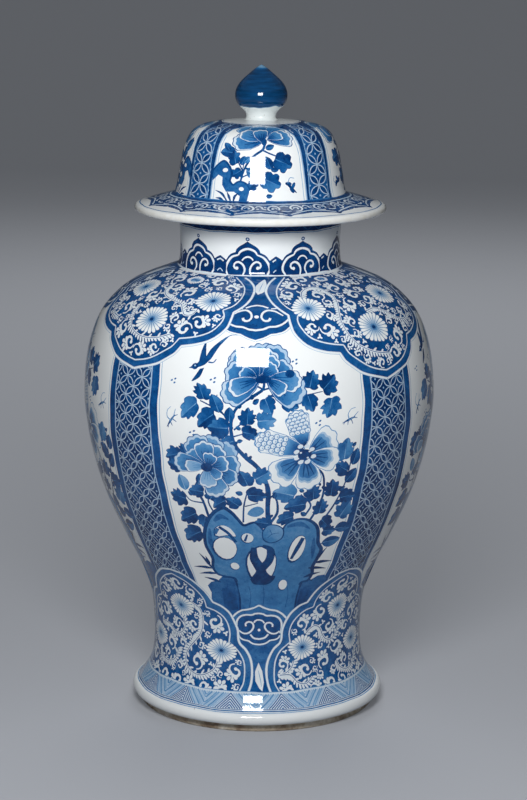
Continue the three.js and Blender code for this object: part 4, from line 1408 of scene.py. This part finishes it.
wall_chart_radius, wall_inner_radius, wall_row = 140.0, 120.0, 8.0
columns_round = 144
body_sheet = Sheet(
    wall, wall_chart_radius, wall.rows(wall_row), columns_round, seam_at[1:-1], washes=wall_brush.washes
)
strips_of = {"foot_flare": 1, "lower_body": 2, "upper_body": 1, "shoulder": 2}


def rest_of_section(node, bottom_turns, top_turns, chart_radius):
    """The plain rest of a section: over its top edge, down the inside and back along its foot"""
    longest_row = 12.0
    low, high = outsides[node]
    outline = Outline(eased(stretch(sections[node], high, low)))
    rows = outline.rows(longest_row)
    rows[-1] = outline.end
    ends = {round(float(rows[0]), 6): top_turns, round(float(rows[-1]), 6): bottom_turns}
    return shell_of(Sheet(outline, chart_radius, rows, columns_round, ends=ends))


def place_thrown(node, outline, brush, chart_radius, columns, inner_radius, strips, body):
    """Places a piece with one painted outline: its outside with the brush's washes and its plain rest"""
    longest_row = 5.0
    sheet = Sheet(outline, chart_radius, outline.rows(longest_row), columns, washes=brush.washes)
    rest = rest_of_section(node, sheet.ring(outline.start), sheet.ring(outline.end), inner_radius)
    mesh = joined(node, [shell_of(sheet, strips=strips), rest])
    place_piece(node, mesh, glaze, body)


for node, first, last in zip(wall_nodes, seam_at, seam_at[1:]):
    outside_shell = shell_of(body_sheet, first, last, strips_of[node])
    plain_shell = rest_of_section(node, body_sheet.ring(first), body_sheet.ring(last), wall_inner_radius)
    place_piece(node, joined(node, [outside_shell, plain_shell]), glaze, "jar")


# Neck: a short upright ring of porcelain, thrown with the mouth and luted on the shoulder over a low ridge.
# Its painting is a row of cloud-shaped heads on a white ground, below a blue band that the cover hides. That
# band's full strength and dim zigzag are partly its own dark blue, partly painted shade of the brim.
neck_reference = 76
heads = 9
first_head = -8.7
crosses = 36
neck_outline = Outline(stretch(sections["neck"], *outsides["neck"]))
neck_brush = Brush(neck_outline)
neck_brush.face(0, neck_reference)
# Painted shade in part: the band under the brim is at full strength and its zigzag is dim, standing also for
# the brim's shadow.
hoop(neck_brush, 40.5, neck_outline.end + 1, 1.0)
hoop(neck_brush, 39.2, 39.8, 0.6)
for k in range(crosses):
    neck_brush.face(360 / crosses * k, neck_reference)
    for side in (-1, 1):
        neck_brush.stroke((-6.6 * side + 41.5j, 0 + 46j, 6.6 * side + 50.5j), 0.9, 0.8)
for k in range(heads):
    neck_brush.face(first_head + 360 / heads * k, neck_reference)
    neck_brush.fill(both_sides((0 - 1j, 26.6 - 1j, 26.6 + 16j, 21 + 15j)), 0.98)
    neck_brush.fill(
        both_sides(
            lobed(
                (21 + 8j, 20.6 + 14j, 16.8 + 19.5j, 11.6 + 21.6j),
                (11.6 + 21.6j, 11 + 24j, 8 + 27j, 3 + 29.6j, 0 + 31.6j),
            )
        ),
        0.97,
    )
    neck_brush.fill(blob(0 + 33.6j, 2.0, 1.8), 0.85)
    neck_brush.fill(blob(0 + 33.6j, 0.9, 0.8), 0.1)
    for side in (1, -1):
        for path, width in (
            ((18 + 1j, 20.4 + 6j, 19 + 12j, 15 + 17j, 8.6 + 19.2j), (1.6, 2.2, 2.2, 1.4)),
            ((8.6 + 19.2j, 7.5 + 21.5j, 3.5 + 24j, 0 + 24.7j), (1.4, 2.2, 2.0)),
            (
                (4 + 0.5j, 2.4 + 6j, 4.6 + 10.8j, 8.5 + 12.8j, 11.9 + 11.2j, 12.2 + 8j, 9.4 + 6.8j),
                (1.2, 1.9, 1.9, 1.7, 2.0),
            ),
            ((4 + 0.5j, 9 + 0.4j, 14 + 1j), (1.2, 0.8)), ((0 + 17.6j, 2.8 + 16.8j, 5 + 14.2j), (1.6, 1.2)),
        ):
            neck_brush.stroke(flipped(path, side), width, 0.05, 2)
        neck_brush.fill(blob(side * 9.6 + 7.2j, 1.5), 0.05)
    neck_brush.face(first_head + 360 / heads * (k + 0.5), neck_reference)
    neck_brush.fill(both_sides(lobed((6 + 0j, 6.6 + 8j, 5.2 + 15j, 0 + 18.6j))), 0.99)
    neck_brush.stroke((-3.4 + 13.4j, 0 + 15.4j, 3.4 + 13.4j), 1.3, 0.1)
    neck_brush.stroke((-3 + 3.5j, 0 + 6j, 3 + 3.5j), 1.0, 0.2)
neck_brush.face(0, neck_reference)
hoop(neck_brush, -2, 1.2, 0.1)
place_thrown(
    "neck", neck_outline, neck_brush, chart_radius=75.0, columns=128, inner_radius=68.0, strips=1, body="jar"
)

# Cover collar: the flange that hangs inside the neck and keeps the cover from sliding off. Bare porcelain,
# because a glazed one would have stuck to the jar in the kiln.
place_piece("cover_collar", thrown("cover_collar", True), bare, "cover")

# Cover brim: a flat flange with a rolled lip that rests on the mouth. Glazed porcelain, painted with
# cloud-shaped heads and scrolls in reserve, and worn cream where the glaze is thin on the lip. Heights on
# it are measured from the lip's widest circle.
brim_reference = 100
brim_widest = (117.8, 477.8)
brim_heads = 13
first_brim_head = 14.1
head_edge = ((24.3 + 18.4j, 21.5 + 17.2j, 17 + 16.8j), (17 + 16.8j, 10 + 15.4j, 4 + 13.8j, 0 + 10.6j))
outsides["cover_brim"] = (np.array((60.0, 481.0)), np.array((80.4, 492.0)))
brim_circles = stretch(sections["cover_brim"], *outsides["cover_brim"])
brim_outline = Outline(brim_circles, -length_to(brim_circles, brim_widest))
brim_brush = Brush(brim_outline)
brim_brush.face(0, brim_reference)
hoop(brim_brush, 6.4, 7.5, 0.66)
hoop(brim_brush, 18.6, 42, 0.9)
for k in range(brim_heads):
    brim_brush.face(first_brim_head + 360 / brim_heads * k, brim_reference)
    for side in (1, -1):
        for curve in head_edge:
            brim_brush.stroke(flipped(curve, side), 1.5, 0.88)
    brim_brush.fill(both_sides(lobed(*(np.array(curve) + 0.8j for curve in head_edge))), 0.9)
    for side in (1, -1):
        ring = spiral(11 + 28j, -110, 215, 6.6, 5.4, 22)
        brim_brush.stroke(flipped(ring, side), (1.2, 2.0, 2.0, 1.6), 0.1)
        hook = spiral(11 + 27.4j, 190, -70, 3.0, 1.7, 10)
        brim_brush.stroke(flipped(hook, side), (1.0, 1.6, 2.0), 0.15)
        brim_brush.stroke(flipped((24.3 + 21.6j, 16 + 20.3j, 8 + 18j, 1.5 + 14.6j), side), 1.5, 0.14)
    brim_brush.stroke((-4.5 + 22.6j, 0 + 21j, 4.5 + 22.6j), 1.6, 0.12)
    brim_brush.stroke((-4.5 + 32.2j, 0 + 34j, 4.5 + 32.2j), 1.5, 0.2)
    brim_brush.face(first_brim_head + 360 / brim_heads * (k + 0.5), brim_reference)
    brim_brush.stroke(
        (-5.4 + 30.5j, -2.6 + 33.4j, 1 + 31.6j, 1.6 + 27.6j, 5.2 + 25.6j), (1.2, 1.9, 1.4), 0.14,
    )
    brim_brush.fill(blob(-3.2 + 27j, 1.5, 1.2), 0.15)
    brim_brush.fill(blob(4.6 + 31j, 1.4, 1.2), 0.2)
brim_brush.face(0, brim_reference)
hoop(brim_brush, 36, 37.6, 0.22)
hoop(brim_brush, 38.4, 43, 0.9)
place_thrown(
    "cover_brim", brim_outline, brim_brush, chart_radius=100.0, columns=160, inner_radius=70.0, strips=1,
    body="cover",
)

# Cover dome: thrown with the brim as one piece of porcelain. It repeats the jar's scheme, four panels of
# peonies between bands of linked circles.
dome_reference, crown_reference = 70, 60
dome_field = (40.3 - 3j, 40.3 + 10j, 39.2 + 30j, 38 + 50j, 36 + 61j, 31.5 + 70j, 23 + 78j, 12 + 83j, 0 + 85j)
outsides["cover_dome"] = (np.array((80.4, 492.0)), np.array((3.0, 559.3)))
dome_outline = Outline(eased(stretch(sections["cover_dome"], *outsides["cover_dome"])))
dome_brush = Brush(dome_outline)
dome_brush.face(0, dome_reference)
hoop(dome_brush, -3, 88.5, 0.93)
for quarter in quarters:
    dome_brush.face(quarter + 43.6, dome_reference)
    dome_brush.fill((-10.4 - 2j, 10.4 - 2j, 10.4 + 88j, -10.4 + 88j), 0.82)
    diaper(dome_brush, -9.8, 9.8, -8, 90, 0 + 52.2j, 9.7, 9.7)
    for side in (-1, 1):
        dome_brush.stroke((side * 10.6 - 2j, side * 10.6 + 45j, side * 10.6 + 88j), 0.9, 0.4, 6)
        dome_brush.fill((side * 11.1 - 2j, side * 17 - 2j, side * 17 + 89j, side * 11.1 + 89j), 0.94)
for quarter in quarters:
    dome_brush.face(quarter - 1.4, dome_reference)
    for wider, blue in ((1.4, 0.5), (0.9, 0.25), (0, 0.0)):
        dome_brush.fill(both_sides(np.array(dome_field) + wider * (1 + 1j)), blue)
    for side in (-1, 1):
        dome_brush.stroke(flipped(np.array(dome_field[:5]) - 2, side), 0.7, 0.3, 4)
    mirror = -1 if quarter in (90, 270) else 1
    for path, width in (
        ((6 + 55j, 4 + 48j, -3 + 43j, -12 + 30j, -15 + 18j, -16 + 8j), (2.4, 2, 1.8)),
        ((4 + 47j, 12 + 43j, 20 + 40j), (1.6, 1)), ((-12 + 30j, 0 + 28j, 8 + 26j), (1.8, 1.2)),
        ((-14 + 22j, -8 + 24j, -4 + 20j), (1.2, 0.8)), ((-14 + 28j, -20 + 38j, -25 + 42j), (1.4, 0.8)),
        ((-15 + 22j, -13 + 34j), (1.2, 0.8)),
    ):
        dome_brush.stroke(flipped(path, mirror), width, 0.86)
    for x, t, kind, lean, length, blue in (
        (-28, 46, "oval", 70, 15, 0.86), (-29, 50, "oval", 20, 9, 0.86), (-23, 39, "round", 30, 12, 0.88),
        (7, 35, "oval", -176, 13, 0.92), (22, 36, "round", -112, 17, 0.9), (10, 50, "oval", -70, 8, 0.9),
        (-14, 37, "oval", -14, 9, 0.8), (-10, 38, "oval", -40, 8, 0.7), (-19, 25, "round", 130, 10, 0.9),
        (11, 18, "round", -116, 18, 0.84), (-5, 14, "round", 160, 10, 0.9), (14, 30, "oval", -60, 7, 0.9),
        (9, 5, "oval", -80, 6, 0.9), (-4, 26, "oval", -110, 14, 0.78),
    ):
        sprig(dome_brush, mirror * x, t, kind, mirror * lean, length, blue)
    stone = (
        -40 + 18j, -41 + 26j, -37 + 33j, -31 + 36j, -26 + 32j, -23 + 25j, -24 + 18j, -21 + 15j, -17 + 18j,
        -11 + 17j, -7 + 11j, -9 + 0j, -9 - 2j, -16 - 2j, -15 + 5j, -20 + 9j, -27 + 9j, -31 + 15j, -31 + 22j,
        -35 + 24j,
    )
    dome_brush.fill(flipped(stone, mirror), 0.76)
    dome_brush.stroke(flipped(stone[:11], mirror), (1.0, 2.2, 1.2), 0.9)
    for place, across, along in ((-29 + 28j, 2.4, 1.8), (-14 + 11.5j, 2, 1.8)):
        dome_brush.fill(blob(flipped(place, mirror), across, along), 0.02)
    for path in (
        (-25 + 0j, -31 + 7j, -37 + 9j), (-27 - 1j, -32 + 2j, -36 + 2j), (-22 + 0j, -24 + 5j, -26 + 9j),
        (-20 + 0j, -19 + 5j, -16 + 8j),
    ):
        dome_brush.stroke(flipped(path, mirror), (1, 2.6, 0.5), 0.9)
    blossom = (
        (0 + 62j, 52, 26, 0.7, 0.3, 0.7, 4), (3 + 62j, 10, 20, 1.2, 0.3, 0.84, 5),
        (8 + 61j, -38, 22, 0.9, 0.3, 0.74, 4), (5 + 56j, 92, 28, 0.62, 0.12, 0.9, 4),
        (4 + 57j, 66, 24, 0.6, 0.08, 0.86, 3), (8 + 57j, -78, 23, 0.9, 0.12, 0.86, 4),
        (8 + 58j, -66, 15, 0.8, 0.1, 0.8, 3), (3 + 54j, 8, 17, 0.9, 0.1, 0.92, 3),
    )
    flower(dome_brush, blossom, mirror)
    dome_brush.fill(flipped(blob(5 + 55j, 2.6, 3.6), mirror), 0.93)
    moth(dome_brush, complex(mirror * 27, 14), -mirror * 38)
dome_brush.face(0, crown_reference)
hoop(dome_brush, 88.5, 112, 0.02)
hoop(dome_brush, 89.6, 90.2, 0.55)
dome_brush.face(0, dome_reference)
hoop(dome_brush, -2, 0.8, 0.72)
place_thrown(
    "cover_dome", dome_outline, dome_brush, chart_radius=60.0, columns=128, inner_radius=60.0, strips=2,
    body="cover",
)

# Knob stem: a short waisted neck of clear-glazed porcelain, thrown apart and luted on the top of the dome.
# The stem's greyer white is partly painted shade, for the dimmer light at the top of the cover.
place_piece("knob_stem", thrown("knob_stem", True), clear_glaze, "cover")

# Knob bud: a hollow lotus bud of porcelain, thrown on the stem, with a vent for the steam of the firing.
# Its blue is one wet wash, put on while the cover turned on the wheel, so it streaks round the bud. It
# stops at a ragged line above the stem and thins out at the tip.
bud_colours = ((0, "#dfe6e6"), (0.3, "#7ba3bd"), (0.6, "#1d6196"), (0.85, "#0b4474"), (1, "#053257"))
wash_from, wash_to = 575.5 * mm, 610 * mm
hem_height, tip_height = 1.2 * mm, 1.5 * mm
streak_size, ragged_size, ragged_height = 2.4 * mm, 15 * mm, 8 * mm
bud_glaze = new_material("streaked_cobalt_glaze")
place_on_bud = add_node(bud_glaze, "ShaderNodeTexCoord").outputs["Object"]
level = add_node(bud_glaze, "ShaderNodeSeparateXYZ", Vector=place_on_bud).outputs["Z"]
pulled = add_node(bud_glaze, "ShaderNodeMapping", Vector=place_on_bud, Scale=(0.12, 0.12, 1.0))
streaks = add_node(
    bud_glaze, "ShaderNodeTexNoise", Vector=pulled, Scale=1 / streak_size, Detail=3.0, Roughness=0.6
)
streaked = add_node(bud_glaze, "ShaderNodeMath", {"operation": "MULTIPLY_ADD"}, _0=streaks, _1=0.46, _2=0.7)
tongues = add_node(bud_glaze, "ShaderNodeTexNoise", Vector=place_on_bud, Scale=1 / ragged_size, Detail=1.0)
ragged = add_node(
    bud_glaze, "ShaderNodeMath", {"operation": "MULTIPLY_ADD"}, _0=tongues, _1=ragged_height, _2=level
)
above_line = add_node(
    bud_glaze, "ShaderNodeMapRange", Value=ragged, From_Min=wash_from, From_Max=wash_from + hem_height
)
below_tip = add_node(
    bud_glaze, "ShaderNodeMapRange", Value=ragged, From_Min=wash_to, From_Max=wash_to + tip_height,
    To_Min=1.0, To_Max=0.42,
)
wash = add_node(bud_glaze, "ShaderNodeMath", {"operation": "MULTIPLY"}, _0=above_line, _1=below_tip)
wash_strength = add_node(bud_glaze, "ShaderNodeMath", {"operation": "MULTIPLY"}, _0=wash, _1=streaked)
bud_painted = add_node(bud_glaze, "ShaderNodeValToRGB", stops=bud_colours, Fac=wash_strength)
bud_shader = add_node(bud_glaze, "ShaderNodeBsdfPrincipled", Base_Color=bud_painted, Roughness=0.045, IOR=1.5)
add_node(bud_glaze, "ShaderNodeOutputMaterial", Surface=bud_shader)
place_piece("knob_bud", thrown("knob_bud", False), bud_glaze, "cover")
